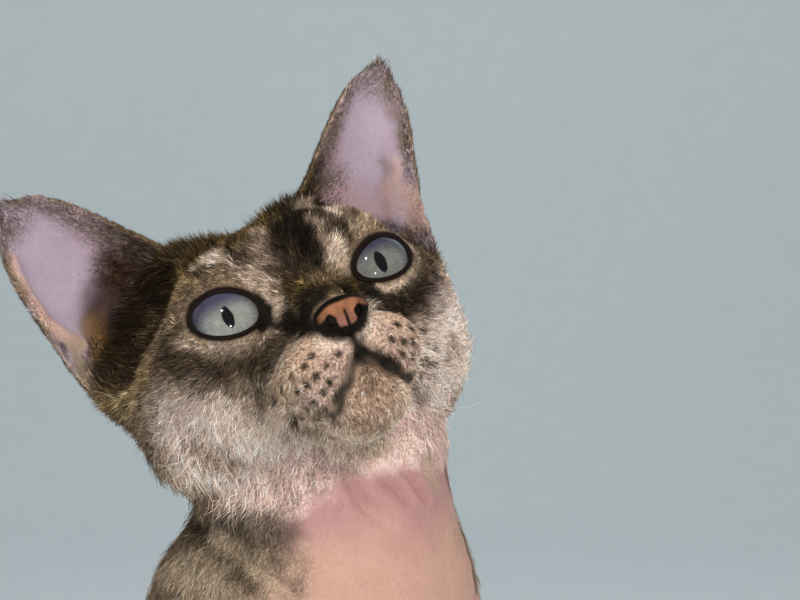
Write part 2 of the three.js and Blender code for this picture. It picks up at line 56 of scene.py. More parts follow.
def headMatrix():
    z, x, y = (Matrix.Rotation(-math.radians(headPose[key]), 3, axis)
               for key, axis in (("turnToRight", "Z"), ("noseUp", "X"), ("tiltToRight", "Y")))
    return np.array(z @ x @ y)


# what a mesh keeps for each point, edge, face or corner, one row for each
def rowsOf(items, key, width, kind=float):
    flat = np.empty(len(items) * width, dtype=kind)
    items.foreach_get(key, flat)
    return flat.reshape(-1, width)


def cornersOf(node):
    return rowsOf(nodes[node].data.vertices, "co", 3) * perMetre


headAxes = headMatrix()
eyesMiddle = (cornersOf("eye_left").mean(0) + cornersOf("eye_right").mean(0)) / 2
headAt = eyesMiddle - headAxes @ np.array(headPose["eyesMiddle"])


def toHead(points):
    return (points - headAt) @ headAxes


def fromHead(points):
    return np.asarray(points) @ headAxes.T + headAt


print("head at", headAt.round(2))

# the camera of the photograph

camera = {
    "azimuth": -35.0,
    "elevation": 4.0,
    "distance": 800.0,
    "lens": 146.49,
    "sensor": 36.0,
    "nearest": 20.0,
    "right": 28.24,      # how far the view's middle is from the middle of the skull
    "up": 9.26,
    "frame": (800, 600),
}


def cameraAxes():
    a = math.radians(camera["azimuth"])
    e = math.radians(camera["elevation"])
    back = np.array((math.sin(a) * math.cos(e), -math.cos(a) * math.cos(e), math.sin(e)))
    right = np.array((math.cos(a), math.sin(a), 0.0))
    return right, np.cross(back, right), back


viewRight, viewUp, viewBack = cameraAxes()
viewAt = headAt + viewRight * camera["right"] + viewUp * camera["up"] + viewBack * camera["distance"]


def addCamera():
    data = bpy.data.cameras.new("camera")
    data.lens = camera["lens"]
    data.sensor_width = camera["sensor"]
    data.clip_start = camera["nearest"] / perMetre
    eye = bpy.data.objects.new("camera", data)
    bpy.context.scene.collection.objects.link(eye)
    eye.location = Vector(viewAt / perMetre)
    eye.rotation_mode = "QUATERNION"
    eye.rotation_quaternion = Vector(-viewBack).to_track_quat("-Z", "Y")
    bpy.context.scene.camera = eye


def photoRay(px, py):
    focal = camera["lens"] / camera["sensor"] * camera["frame"][0]
    across = (px - camera["frame"][0] / 2) / focal
    upward = (camera["frame"][1] / 2 - py) / focal
    ray = -viewBack + viewRight * across + viewUp * upward
    return ray / np.linalg.norm(ray)


addCamera()
bpy.context.scene.view_settings.view_transform = "Standard"

# small helpers


def smooth(value, low, high):
    t = np.clip((value - low) / (high - low), 0, 1)
    return t * t * (3 - 2 * t)


# from a first share up to 1
def rising(first, value, low, high):
    return first + (1 - first) * smooth(value, low, high)


def unit(vectors):
    return vectors / np.maximum(np.linalg.norm(vectors, axis=-1, keepdims=True), 1e-9)


driftWaves = 9


# slow chance waves over space, about the given size in mm and mostly between -1 and 1
def drift(points, size, seed):
    chance = np.random.default_rng(seed)
    waves = unit(chance.normal(size=(driftWaves, 3))) * (2 * math.pi / size)
    waves = waves * chance.uniform(0.7, 1.3, (driftWaves, 1))
    return np.sin(points @ waves.T + chance.uniform(0, 6.28, driftWaves)).sum(1) * 0.33


cellPrimes = np.array((73856093, 19349663, 83492791))
cellValues = 4099


# one chance value for all points of a small cell, so that hairs that grow together look alike
def cellChance(at, size, seed):
    cell = np.floor(at / size).astype(np.int64) @ cellPrimes
    return np.random.default_rng(seed).normal(size=cellValues)[(cell + seed) % cellValues]


# points of the head brought over to the cat's left side
def onLeftSide(local):
    return local * np.where(local[:, :1] < 0, (-1, 1, 1), (1, 1, 1))


def deselect():
    bpy.ops.object.select_all(action="DESELECT")


def activate(piece):
    deselect()
    piece.select_set(True)
    bpy.context.view_layer.objects.active = piece


def inEditMode(piece, operator, **settings):
    activate(piece)
    bpy.ops.object.mode_set(mode="EDIT")
    bpy.ops.mesh.select_all(action="SELECT")
    operator(**settings)
    bpy.ops.object.mode_set(mode="OBJECT")


def applyModifier(piece, kind, **settings):
    activate(piece)
    modifier = piece.modifiers.new(kind.lower(), kind)
    for key, value in settings.items():
        setattr(modifier, key, value)
    bpy.ops.object.modifier_apply(modifier=modifier.name)


def pieceFrom(name, points, faces):
    mesh = bpy.data.meshes.new(name)
    mesh.from_pydata((np.asarray(points) / perMetre).tolist(), [], [list(map(int, f)) for f in faces])
    mesh.update()
    piece = bpy.data.objects.new(name, mesh)
    bpy.context.scene.collection.objects.link(piece)
    return piece


def pointsOf(piece):
    return rowsOf(piece.data.vertices, "co", 3) * perMetre


def setPoints(piece, points):
    piece.data.vertices.foreach_set("co", (points / perMetre).ravel())
    piece.data.update()


def normalsOf(piece):
    return rowsOf(piece.data.vertex_normals, "vector", 3)


def edgesOf(piece):
    return rowsOf(piece.data.edges, "vertices", 2, np.int64)


def shadeSmooth(mesh):
    mesh.polygons.foreach_set("use_smooth", np.ones(len(mesh.polygons), bool))


# a vertex group that gives each point its weight from 0 to 1, in a number of levels
def addWeights(piece, name, weights, levels, least=0.0):
    group = piece.vertex_groups.new(name=name)
    nearest = np.round(levels * weights)
    for level in range(levels + 1):
        chosen = np.nonzero(nearest == level)[0]
        weight = max(level / levels, least)
        if len(chosen) and weight > 0:
            group.add(chosen.tolist(), weight, "REPLACE")


# the mean of each point's neighbours
def averaged(values, edges):
    count = len(values)
    number = np.bincount(edges.ravel(), minlength=count)
    total = np.empty_like(values)
    for k in range(values.shape[1]):
        total[:, k] = (np.bincount(edges[:, 0], values[edges[:, 1], k], count)
                       + np.bincount(edges[:, 1], values[edges[:, 0], k], count))
    return total / np.maximum(number, 1)[:, None]


def relaxed(values, edges, rounds, amount=0.5):
    amount = np.broadcast_to(np.asarray(amount, float).reshape(-1, 1), (len(values), 1))
    for _ in range(rounds):
        values = values + (averaged(values, edges) - values) * amount
    return values


# the skin, one surface over all nodes of flesh

skin = {
    "voxel": 1.0,
    "closeGaps": 0.3,        # how far nodes grow so that they meet
    "triangles": 186000,
    "regions": {
        "head": ["head"],
        "ear": ["ear_left", "ear_right"],
        "neck": ["neck"],
        "trunk": ["chest", "loin"],
        "arm": ["upper_arm_left", "upper_arm_right", "forearm_left", "forearm_right"],
        "leg": ["thigh_left", "thigh_right", "shank_left", "shank_right"],
        "foot": ["front_paw_left", "front_paw_right", "hind_foot_left", "hind_foot_right",
                 "hind_paw_left", "hind_paw_right"],
        "tail": ["tail_1", "tail_2", "tail_3", "tail_4"],
    },
    "smoothing": {"head": 0.06, "ear": 0.03, "neck": 0.8, "trunk": 1.0, "arm": 0.6, "leg": 0.8,
                  "foot": 0.1, "tail": 0.4},
    "rounds": 160,
    "smoothLevels": 50,      # steps between no smoothing and full
    "keptFine": {"head": 1, "ear": 1, "neck": 0.35, "trunk": 0, "arm": 0, "leg": 0, "foot": 0, "tail": 0},
    "fineLevels": 10,
    "coatDepth": {"head": 0.55, "ear": 0.1, "neck": 1.5, "trunk": 2.2, "arm": 1.0, "leg": 1.6,
                  "foot": 0.5, "tail": 1.0},
    "jawDepth": 2.8,
    "lowest": 0.4,           # over the floor
    "bareDepth": 0.2,        # share of the coat's depth that is left where the skin is bare
}

eyes = {
    "at": {1: (19.6, -23.2, 3.2), -1: (18.0, -22.6, 4.4)},    # 1 is the cat's left, -1 its right
    "radius": 10.6,
    "socketSpare": 0.7,
    "mmPerRadian": 11,                            # the opening is measured on a ball of this radius
    "lidPower": 1.95,                             # 2 would make the opening's halves ellipses
    "corneaRadius": 9.3,
    "corneaForward": 2.3,
    "outward": {1: -1.2, -1: 11.9},               # both look a little to the cat's right, at the camera
    "upward": {1: 4.7, -1: 5.5},
    "halfWidth": {1: 8.95, -1: 9.6},
    "upper": {1: 4.0, -1: 4.7},
    "lower": {1: 6.1, -1: 6.5},
    "shift": {1: (3.2, 1.5), -1: (1.3, 2.1)},     # the opening's middle, outward and up from the eye's axis
    "slant": {1: 14.3, -1: 21.0},                 # outer corners stand higher, the right one more
    # the cat's left eye is painted darker than its right as painted shade; both irises have one colour
    "brightness": {1: 0.6, -1: 0.92},
    "irisRadius": 9.6,
    "irisTones": [(0.0, (0.11, 0.12, 0.09)), (0.22, (0.22, 0.225, 0.20)), (0.55, (0.22, 0.222, 0.215)),
                  (0.70, (0.125, 0.13, 0.135)), (0.86, (0.012, 0.012, 0.016))],
    "pupil": (1.3, 2.75),                         # half its width and half its height
    "rim": 0.85,
    "rimAbove": 0.9,
    "rimInner": {1: 0.7, -1: 2.2},
    "rimOuter": 0.5,
    "rimTuck": 0.35,
}

lids = {
    "reach": 19.0,                 # the skin is shaped within this distance of the eye's middle
    "band": 9.0,                   # and this one of the opening's border
    "under": 1.2,                  # inside the opening it lies this far under the eyeball's face
    "edge": 0.15,
    "thickness": 1.0,
    "creaseAt": 3.8,
    "creaseWidth": 0.9,
    "creaseDepth": 0.5,
    "give": (2.0, 7.0),
    "standsFrom": 2.5,
    "standsWeight": 1.3,
    "far": 20.0,                   # stands for places that don't face the opening
    "smoothAhead": 7.0,            # the skin is smoothed more in a ball in front of the eye
    "smoothBall": (12.0, 18.0),
    "smoothing": 0.3,
}

regionNames = list(skin["regions"])
regionAt = {name: k for k, name in enumerate(regionNames)}
fleshNodes = [name for names in skin["regions"].values() for name in names]
regionOf = {name: region for region, names in skin["regions"].items() for name in names}


def mergedCopy(node, grow):
    build = bmesh.new()
    build.from_mesh(nodes[node].data)
    bmesh.ops.remove_doubles(build, verts=build.verts, dist=1e-6)
    build.normal_update()
    shift = [v.normal * (grow / perMetre) for v in build.verts]
    for v, move in zip(build.verts, shift):
        v.co += move
    points = np.array([v.co for v in build.verts]) * perMetre
    faces = [[v.index for v in f.verts] for f in build.faces]
    build.free()
    return points, faces


def eyeDirection(side):
    outward = math.radians(eyes["outward"][side])
    upward = math.radians(eyes["upward"][side])
    return np.array((side * math.sin(outward) * math.cos(upward), -math.cos(outward) * math.cos(upward),
                     math.sin(upward)))


def eyeCentre(side):
    x, y, z = eyes["at"][side]
    return np.array((side * x, y, z))


def buildSkin():
    points, faces = [], []
    for node in fleshNodes + ["nose"]:
        own, ownFaces = mergedCopy(node, skin["closeGaps"])
        start = sum(map(len, points))
        points.append(own)
        faces += [[start + k for k in face] for face in ownFaces]
    piece = pieceFrom("skin", np.concatenate(points), faces)
    # balls that fill the eye sockets
    balls = []
    radius = (eyes["radius"] + eyes["socketSpare"]) / perMetre
    for side in (1, -1):
        centre = fromHead(eyeCentre(side)) / perMetre
        bpy.ops.mesh.primitive_uv_sphere_add(segments=40, ring_count=24, location=centre, radius=radius)
        balls.append(bpy.context.object)
    activate(piece)
    for ball in balls:
        ball.select_set(True)
    bpy.ops.object.join()
    applyModifier(piece, "REMESH", mode="VOXEL", voxel_size=skin["voxel"] / perMetre, adaptivity=0)
    keepLargest(piece)
    return piece


# the remeshed skin can leave small closed parts inside, which are dropped
def keepLargest(piece):
    count = len(piece.data.vertices)
    edges = edgesOf(piece)
    label = np.arange(count)
    while True:
        low = np.minimum(label[edges[:, 0]], label[edges[:, 1]])
        before = label.copy()
        np.minimum.at(label, edges[:, 0], low)
        np.minimum.at(label, edges[:, 1], low)
        label = label[label]
        if np.array_equal(before, label):
            break
    names, sizes = np.unique(label, return_counts=True)
    keep = names[np.argmax(sizes)]
    if len(names) > 1:
        build = bmesh.new()
        build.from_mesh(piece.data)
        build.verts.ensure_lookup_table()
        bmesh.ops.delete(build, geom=[build.verts[i] for i in np.nonzero(label != keep)[0]], context="VERTS")
        build.to_mesh(piece.data)
        build.free()
    print("skin parts", len(names), "kept", sizes.max())


def fleshTree():
    points, faces, owner = [], [], []
    start = 0
    for node in fleshNodes:
        own, ownFaces = mergedCopy(node, 0)
        points += own.tolist()
        faces += [[start + k for k in face] for face in ownFaces]
        owner += [node] * len(ownFaces)
        start += len(own)
    return BVHTree.FromPolygons(points, faces), owner


# for points of the skin: the nearest node, its region, and the shares of all regions, blended where they meet
def regionsNear(points, edges, rounds):
    tree, owner = fleshTree()
    nearest = np.array([fleshNodes.index(owner[tree.find_nearest(p)[2]]) for p in points.tolist()])
    index = np.array([regionAt[regionOf[name]] for name in fleshNodes])[nearest]
    return nearest, index, relaxed(np.eye(len(regionNames))[index], edges, rounds)


def byRegion(values, blendedShares):
    return blendedShares @ np.array([values[name] for name in regionNames])


# how far the eyeball reaches in each direction from its middle
def eyeReach(cosine):
    forward, radius = eyes["corneaForward"], eyes["corneaRadius"]
    sine2 = 1 - cosine ** 2
    cornea = forward * cosine + np.sqrt(np.maximum(radius ** 2 - forward ** 2 * sine2, 0))
    return np.where(cosine > 0, np.maximum(cornea, eyes["radius"]), eyes["radius"])


# the eye's own directions: ahead, out to the opening's outer corner, and up
def eyeAxes(side):
    ahead = eyeDirection(side)
    up = np.array((0.0, 0.0, 1.0))
    out = unit(np.cross(ahead, up))
    out = out if out[0] * side > 0 else -out
    high = unit(up - ahead * (up @ ahead))
    slant = math.radians(eyes["slant"][side])
    return ahead, out * math.cos(slant) + high * math.sin(slant), high * math.cos(slant) - out * math.sin(slant)


# how far out a place is in the opening between the lids: 0 in its middle, 1 on its border
def openingSize(side, u, v):
    tall = np.where(v > 0, eyes["upper"][side], eyes["lower"][side])
    a, b = np.abs(u / eyes["halfWidth"][side]), np.abs(v / tall)
    return (a ** eyes["lidPower"] + b ** eyes["lidPower"]) ** (1 / eyes["lidPower"])


# signed distance in mm from the opening's border, below zero inside it, and the place across and up
def lidDistance(local, side):
    ahead, out, high = eyeAxes(side)
    offset = local - eyeCentre(side)
    length = np.linalg.norm(offset, axis=1)
    away = offset / np.maximum(length, 1e-6)[:, None]
    u = np.arctan2(away @ out, away @ ahead) * eyes["mmPerRadian"] - eyes["shift"][side][0]
    v = np.arcsin(np.clip(away @ high, -1, 1)) * eyes["mmPerRadian"] - eyes["shift"][side][1]
    size = openingSize(side, u, v)
    distance = (size - 1) * np.hypot(u, v) / np.maximum(size, 0.05)
    # skin that stands well in front of the eyeball, such as the side of the nose, is farther off than its angle says
    stands = np.maximum(length - eyeReach(away @ ahead) - lids["standsFrom"], 0)
    return np.where(away @ ahead > 0.1, distance + lids["standsWeight"] * stands, lids["far"]), u, v


# the skin closes on the eyeball round the opening, as lids with a crease above
def shapeLids(local):
    for side in (1, -1):
        centre = eyeCentre(side)
        away = local - centre
        length = np.linalg.norm(away, axis=1)
        distance, _, v = lidDistance(local, side)
        near = (length < lids["reach"]) & (distance < lids["band"])
        ball = eyeReach(unit(away) @ eyeDirection(side))
        lid = ball + lids["edge"] + lids["thickness"] * smooth(distance, -0.2, 2.6)
        furrow = np.exp(-((distance - lids["creaseAt"]) / lids["creaseWidth"]) ** 2) * smooth(v, 0, 3)
        target = np.where(distance < -0.3, ball - lids["under"], lid - lids["creaseDepth"] * furrow)
        # farther out the lid gives way to the brow and cheek, which stand higher
        give = smooth(distance, *lids["give"])
        blended = np.maximum(target * (1 - give) + length * give, target)
        wanted = np.where(distance < lids["give"][0], target, blended)
        local = np.where(near[:, None], centre + unit(away) * wanted[:, None], local)
    return local


# marks that are placed by the photograph's pixels
# Each is a line of points on the skin. They are found once on the side that the camera sees.


def onSkin(tree, px, py):
    ray = photoRay(px, py)
    hit = tree.ray_cast(Vector(viewAt), Vector(ray))[0]
    if hit is None:
        # beside the outline: the point of the skin that is nearest to the ray
        hit = tree.find_nearest(Vector(viewAt + ray * camera["distance"]))[0]
    return np.array(hit)


def lineOnSkin(tree, pixels):
    return [toHead(onSkin(tree, *pixel)) for pixel in pixels]


# distance of points from a line, or with both from the nearer of the line and its mirror image
def lineDistance(points, line, both=False):
    if both:
        return np.minimum(lineDistance(points, line), lineDistance(points * (-1, 1, 1), line))
    best = np.full(len(points), np.inf)
    for a, b in zip(line[:-1], line[1:]):
        along = b - a
        t = np.clip((points - a) @ along / max(along @ along, 1e-9), 0, 1)
        best = np.minimum(best, np.linalg.norm(points - a - t[:, None] * along, axis=1))
    return best


# folds and grooves of the skin: photo points, depth and width in mm, a depth below zero being a ridge
creases = [
    {"at": [(358, 334), (360, 350)], "depth": 1.0, "width": 1.0},
    {"at": [(358, 354), (351, 370), (346, 386), (339, 402), (330, 418), (318, 430)], "depth": 1.3, "width": 1.2,
     "both": True},
    {"at": [(192, 515), (230, 545), (260, 570), (292, 592)], "depth": 2.6, "width": 2.2},
    {"at": [(225, 524), (260, 543), (297, 566)], "depth": 2.2, "width": 2.2},
    {"at": [(207, 548), (235, 572), (258, 596)], "depth": 1.6, "width": 2.0},
    {"at": [(330, 466), (360, 478), (395, 482)], "depth": 1.0, "width": 1.6},
    {"at": [(366, 458), (385, 474), (405, 500)], "depth": 1.3, "width": 1.4},
    {"at": [(382, 454), (402, 472), (424, 496)], "depth": 1.4, "width": 1.3},
    {"at": [(350, 476), (362, 500), (384, 520)], "depth": 1.0, "width": 1.8},
    {"at": [(345, 462), (350, 482), (366, 508)], "depth": 1.1, "width": 1.4},
    {"at": [(14, 262), (27, 292), (45, 318), (68, 338), (84, 346)], "depth": -1.1, "width": 1.7, "both": True},
    {"at": [(49, 343), (57, 353), (68, 356)], "depth": 1.0, "width": 1.1, "both": True},
    {"at": [(383, 166), (385, 186), (381, 208)], "depth": 0.5, "width": 2.0},
    {"at": [(397, 168), (392, 190), (388, 214)], "depth": -0.4, "width": 2.4},
]


# the raised lips beside a groove: their place and width as shares of its width, their height as one of its depth
foldLips = {"at": 2.2, "width": 1.3, "height": 0.35}


def foldSkin(local, normals, tree):
    for crease in creases:
        distance = lineDistance(local, lineOnSkin(tree, crease["at"]), crease.get("both"))
        width = crease["width"]
        groove = np.exp(-(distance / width) ** 2)
        beside = np.exp(-((distance - foldLips["at"] * width) / (foldLips["width"] * width)) ** 2)
        local = local + normals * (crease["depth"] * (foldLips["height"] * beside - groove))[:, None]
    return local


# make the skin

body = buildSkin()
points = pointsOf(body)
edges = edgesOf(body)
shares = regionsNear(points, edges, 14)[2]
print("stage: skin remeshed,", len(points), "points")


# how much a point of the head belongs to the long-haired cheeks under the ears and along the jaw
def jawShare(local):
    x, y, z = local.T
    return smooth(np.abs(x) * 0.6 - z, 22, 40) * smooth(y, -36, -14) * (1 - 0.45 * smooth(x, 0, 20))


aroundEyes = np.zeros(len(points))
for side in (1, -1):
    ahead = eyeCentre(side) + lids["smoothAhead"] * eyeDirection(side)
    away = np.linalg.norm(toHead(points) - ahead, axis=1)
    aroundEyes = np.maximum(aroundEyes, 1 - smooth(away, *lids["smoothBall"]))
softness = np.clip(byRegion(skin["smoothing"], shares) + lids["smoothing"] * aroundEyes, 0, 1)
addWeights(body, "soft", softness, skin["smoothLevels"])
applyModifier(body, "SMOOTH", factor=0.5, iterations=skin["rounds"], vertex_group="soft")
body.vertex_groups.clear()
points = pointsOf(body)
print("stage: skin smoothed")
depth = byRegion(skin["coatDepth"], shares)
depth = depth + skin["jawDepth"] * jawShare(toHead(points)) * shares[:, regionAt["head"]]
outward = normalsOf(body)
bareFront = smooth(-outward[:, 1], 0.1, 0.5) * (shares[:, regionAt["neck"]] + shares[:, regionAt["trunk"]])
depth = depth * (1 - (1 - skin["bareDepth"]) * bareFront)
points = points - outward * depth[:, None]
setPoints(body, points)

faceLists = [list(face.vertices) for face in body.data.polygons]
photoTree = BVHTree.FromPolygons(points.tolist(), faceLists)
local = foldSkin(toHead(points), normalsOf(body) @ headAxes, photoTree)
local = shapeLids(local)
local = relaxed(local, edges, 2, np.where(shares[:, regionAt["head"]] > 0.5, 0.25, 0.4))
points = fromHead(local)
points[:, 2] = np.maximum(points[:, 2], skin["lowest"])
setPoints(body, points)
print("stage: skin shaped")

# the body's skin is thinned out, and the head's kept fine
fine = np.clip(byRegion(skin["keptFine"], shares), 0, 1)
addWeights(body, "coarse", 1 - fine, skin["fineLevels"], 0.02)
faceTotal = sum(len(face) - 2 for face in faceLists)
if faceTotal > skin["triangles"]:
    applyModifier(body, "DECIMATE", ratio=skin["triangles"] / faceTotal, vertex_group="coarse",
                  vertex_group_factor=1.0)
body.vertex_groups.clear()
applyModifier(body, "TRIANGULATE")
deselect()
points = pointsOf(body)
edges = edgesOf(body)
owners, regionIndex, shares = regionsNear(points, edges, 8)
normals = normalsOf(body)
broadNormals = unit(relaxed(normals, edges, 40))    # without the folds, for where the coat ends
triangles = rowsOf(body.data.polygons, "vertices", 3, np.int64)
photoTree = BVHTree.FromPolygons(points.tolist(), triangles.tolist())
print("stage: skin has", len(triangles), "triangles")

# colours of skin and coat, the same for both, so the tufts carry the markings of the skin under them

tones = {
    "black": (0.007, 0.005, 0.003),
    "dark": (0.027, 0.018, 0.011),
    "olive": (0.056, 0.036, 0.011),
    "brown": (0.163, 0.113, 0.072),
    "ochre": (0.240, 0.165, 0.082),
    "taupe": (0.368, 0.285, 0.198),
    "pale": (0.662, 0.497, 0.377),
    "pad": (0.455, 0.308, 0.215),
    "padPink": (0.395, 0.266, 0.213),
    "cream": (0.590, 0.476, 0.377),
    "white": (0.920, 0.715, 0.635),
    "pinkSkin": (0.400, 0.220, 0.212),
    "peachSkin": (0.490, 0.296, 0.231),
    "lilac": (0.400, 0.322, 0.388),
    "lilacPink": (0.430, 0.288, 0.310),
    "earBrown": (0.032, 0.014, 0.006),
    "earFur": (0.018, 0.010, 0.005),
    "earHair": (0.144, 0.104, 0.076),
    "earFold": (0.558, 0.360, 0.288),
    "earGlow": (0.220, 0.115, 0.035),
    "chin": (0.330, 0.205, 0.145),
}


# a mark is a line of photo points with a radius and a softness in mm. Those with both are mirrored, those with a
# side are on that side's ear only, and those with lip are bare lines of the mouth.
def mark(at, radius, soft, tone, strength, **more):
    return {"at": at, "radius": radius, "soft": soft, "tone": tone, "strength": strength, **more}


headMarks = [
    mark([(180, 250), (215, 238), (250, 226), (290, 208)], 3.5, 6, "olive", 0.85, both=True),
    mark([(128, 245), (145, 262), (156, 290), (146, 318)], 5, 6, "dark", 0.95, both=True),
    mark([(176, 262), (190, 252), (205, 250)], 2, 5, "dark", 0.6, both=True),
    mark([(312, 203), (298, 226), (294, 244)], 4.5, 4.5, "black", 0.97),
    mark([(294, 240), (312, 256), (330, 268)], 3.5, 5, "black", 0.95),
    mark([(268, 250), (284, 262), (300, 278)], 3.5, 4, "dark", 0.9),
    mark([(256, 232), (262, 246), (268, 260)], 0.9, 2.4, "pale", 0.3),
    mark([(307, 210), (322, 226), (334, 242), (343, 262), (349, 278)], 1.0, 3.4, "pale", 0.42),
    mark([(340, 254), (346, 266), (349, 278)], 0.9, 2.4, "pale", 0.38),
    mark([(352, 232), (362, 224), (378, 222)], 0.8, 2.6, "taupe", 0.6),
    mark([(414, 250), (420, 262), (412, 278)], 0.8, 2.4, "pale", 0.7),
    mark([(206, 262), (225, 260), (246, 270), (268, 286), (282, 306)], 0.9, 2.8, "pale", 0.72, both=True),
    mark([(228, 250), (240, 259), (249, 268)], 0.9, 1.8, "black", 0.9, both=True),
    mark([(331, 219), (340, 228), (347, 237)], 1.0, 1.7, "black", 0.85),
    mark([(198, 274), (214, 268), (232, 268)], 0.8, 1.6, "dark", 0.6, both=True),
    mark([(150, 342), (163, 318), (176, 296), (190, 280)], 0.8, 2.4, "ochre", 0.8, both=True),
    mark([(166, 334), (170, 345)], 0.8, 2.2, "dark", 0.75, both=True),
    mark([(184, 342), (205, 350), (232, 351), (258, 344), (271, 334)], 1.0, 2.4, "pale", 0.6, both=True),
    mark([(168, 356), (195, 368), (225, 370), (252, 360), (282, 346)], 3.0, 5, "dark", 0.85, both=True),
    mark([(268, 366), (258, 384), (262, 400)], 2.0, 4, "dark", 0.6, both=True),
    mark([(267, 315), (276, 322), (290, 328), (304, 330)], 1.3, 2.4, "black", 0.97, both=True),
    mark([(292, 314), (302, 324), (313, 332)], 2.2, 2.4, "black", 0.95, both=True),
    mark([(396, 304), (414, 297), (436, 292)], 3.4, 3.4, "dark", 0.92),
    mark([(372, 292), (384, 289), (402, 283)], 0.5, 1.6, "pale", 0.75),
    mark([(372, 302), (380, 314)], 0.8, 2.0, "cream", 0.7),
    mark([(296, 290), (314, 290), (334, 290), (350, 284)], 2.6, 3, "olive", 0.9),
    mark([(302, 301), (314, 292), (328, 286), (346, 283)], 1.2, 2.2, "dark", 0.75),
    mark([(322, 279), (340, 277)], 1.0, 2.5, "ochre", 0.35),
    mark([(310, 306), (322, 297), (342, 291), (364, 290), (375, 298)], 1.4, 1.8, "black", 0.97),
    mark([(308, 300), (304, 312), (308, 326)], 2.0, 2.4, "black", 0.95),
    mark([(310, 352), (296, 372), (284, 398)], 4.5, 3.5, "pad", 0.95, both=True),
    mark([(334, 350), (326, 372), (312, 398)], 3.2, 3, "padPink", 0.9, both=True),
    mark([(320, 340), (336, 342)], 1.6, 2.6, "cream", 0.6, both=True),
    mark([(320, 414), (308, 416), (294, 412)], 0.8, 2.6, "brown", 0.8, both=True),
    mark([(374, 384), (370, 412)], 6, 6, "chin", 0.85),
    mark([(368, 366), (374, 384)], 1.6, 3, "brown", 0.5),
    mark([(200, 432), (240, 462), (285, 462)], 9, 9, "white", 0.75, both=True),
    mark([(112, 400), (128, 392), (146, 372)], 3, 5, "ochre", 0.85, both=True),
    mark([(112, 424), (140, 440), (158, 458), (170, 478)], 3, 5, "dark", 0.6, both=True),
    # painted shade along the jaw's lower outline, mirrored to both sides
    mark([(150, 452), (170, 478), (192, 496), (216, 506)], 3.5, 5, "brown", 0.9, both=True),
    mark([(206, 440), (222, 448)], 2, 5, "brown", 0.45, both=True),
    # painted shadow under the whisker pads, on both sides
    mark([(296, 424), (312, 431), (326, 431)], 1.0, 3.0, "brown", 0.7, both=True),
    mark([(357, 354), (351, 370), (346, 386), (339, 402), (333, 415)], 1.2, 2.2, "black", 0.92, lip=True),
    mark([(362, 352), (376, 357), (390, 366)], 1.6, 2.6, "black", 0.97, lip=True),
    mark([(390, 366), (404, 377)], 1.0, 2.8, "black", 0.93, lip=True),
    # painted shade where the mouth's line ends on the cat's left
    mark([(404, 378), (412, 388), (418, 398)], 0.9, 3.0, "dark", 0.7),
    mark([(352, 333), (357, 344), (360, 352)], 1.3, 1.8, "black", 0.97, lip=True),
    mark([(312, 327), (320, 331), (332, 333)], 0.6, 1.1, "black", 0.95, both=True),
]

# on the neck: painted shade in the folds on the cat's right with paler curls between them, painted shadow under the
# jaw's fluff, and a dark edge on its left
neckMarks = [
    # painted shadow under the jaw's fluff
    mark([(205, 512), (240, 522), (275, 530), (288, 534)], 1.6, 5.0, "dark", 0.75),
    # painted shade in the neck's folds
    mark([(190, 524), (214, 545), (232, 564), (250, 586)], 0.8, 3.4, "dark", 0.75),
    mark([(228, 528), (256, 545), (282, 562)], 0.6, 4.0, "dark", 0.5),
    mark([(214, 532), (245, 558), (272, 588)], 0.8, 2.6, "taupe", 0.7),
    mark([(150, 556), (180, 566), (215, 588)], 3.0, 5.0, "taupe", 0.9),
    mark([(360, 452), (385, 456), (410, 448)], 2.0, 4.5, "white", 0.6),
    mark([(426, 462), (436, 486)], 1.6, 3.0, "taupe", 0.6),
    mark([(446, 474), (460, 504), (472, 540), (486, 588)], 0.8, 2.6, "dark", 0.8),
]

earMarks = [
    mark([(122, 272), (112, 296), (102, 316), (108, 336)], 3.5, 7.5, "earBrown", 0.92, side=-1),
    mark([(92, 332), (104, 348), (112, 372)], 2.0, 5.0, "earGlow", 0.6, side=-1),
    mark([(140, 318), (128, 344), (122, 366)], 2.5, 4.0, "earFur", 0.9, side=-1),
    mark([(14, 262), (27, 292), (45, 318), (68, 338), (84, 346)], 1.1, 2.2, "earFold", 0.85, side=-1),
    mark([(3, 250), (12, 276), (26, 300)], 0.9, 1.8, "brown", 0.7, side=-1),
    mark([(74, 350), (84, 368), (92, 388)], 1.8, 3.0, "taupe", 0.85, side=-1),
    # painted shade along the groove of the skin here
    mark([(46, 340), (54, 350), (64, 355)], 0.7, 1.4, "black", 0.9, side=-1),
    mark([(58, 376), (70, 386), (80, 394)], 0.6, 1.6, "black", 0.7, side=-1),
    mark([(389, 84), (397, 112), (403, 146)], 0.8, 2.6, "brown", 0.7, side=1),
    # painted shade along the crease of the ear
    mark([(383, 164), (385, 184), (380, 208)], 0.5, 2.6, "brown", 0.5, side=1),
    mark([(396, 168), (391, 190), (388, 214)], 0.7, 3.6, "earFold", 0.55, side=1),
    mark([(410, 196), (418, 222)], 1.5, 4.0, "earFold", 0.7, side=1),
    mark([(336, 200), (352, 204), (370, 208)], 2.0, 6.0, "lilacPink", 0.8, side=1),
]

# the whiskers' roots on both pads, as photo points
whiskerRoots = [
    (312, 356), (304, 366), (292, 376), (282, 388), (276, 398), (338, 354), (327, 365), (316, 375), (306, 384),
    (297, 390), (291, 401), (330, 382), (323, 392), (314, 401), (306, 408), (301, 415), (294, 419), (325, 408),
    (316, 418), (397, 324), (410, 327), (421, 330), (391, 339), (403, 341), (412, 341), (422, 344), (431, 346),
    (402, 354), (412, 357), (420, 359), (426, 361), (431, 362), (417, 370), (425, 374), (432, 375),
]

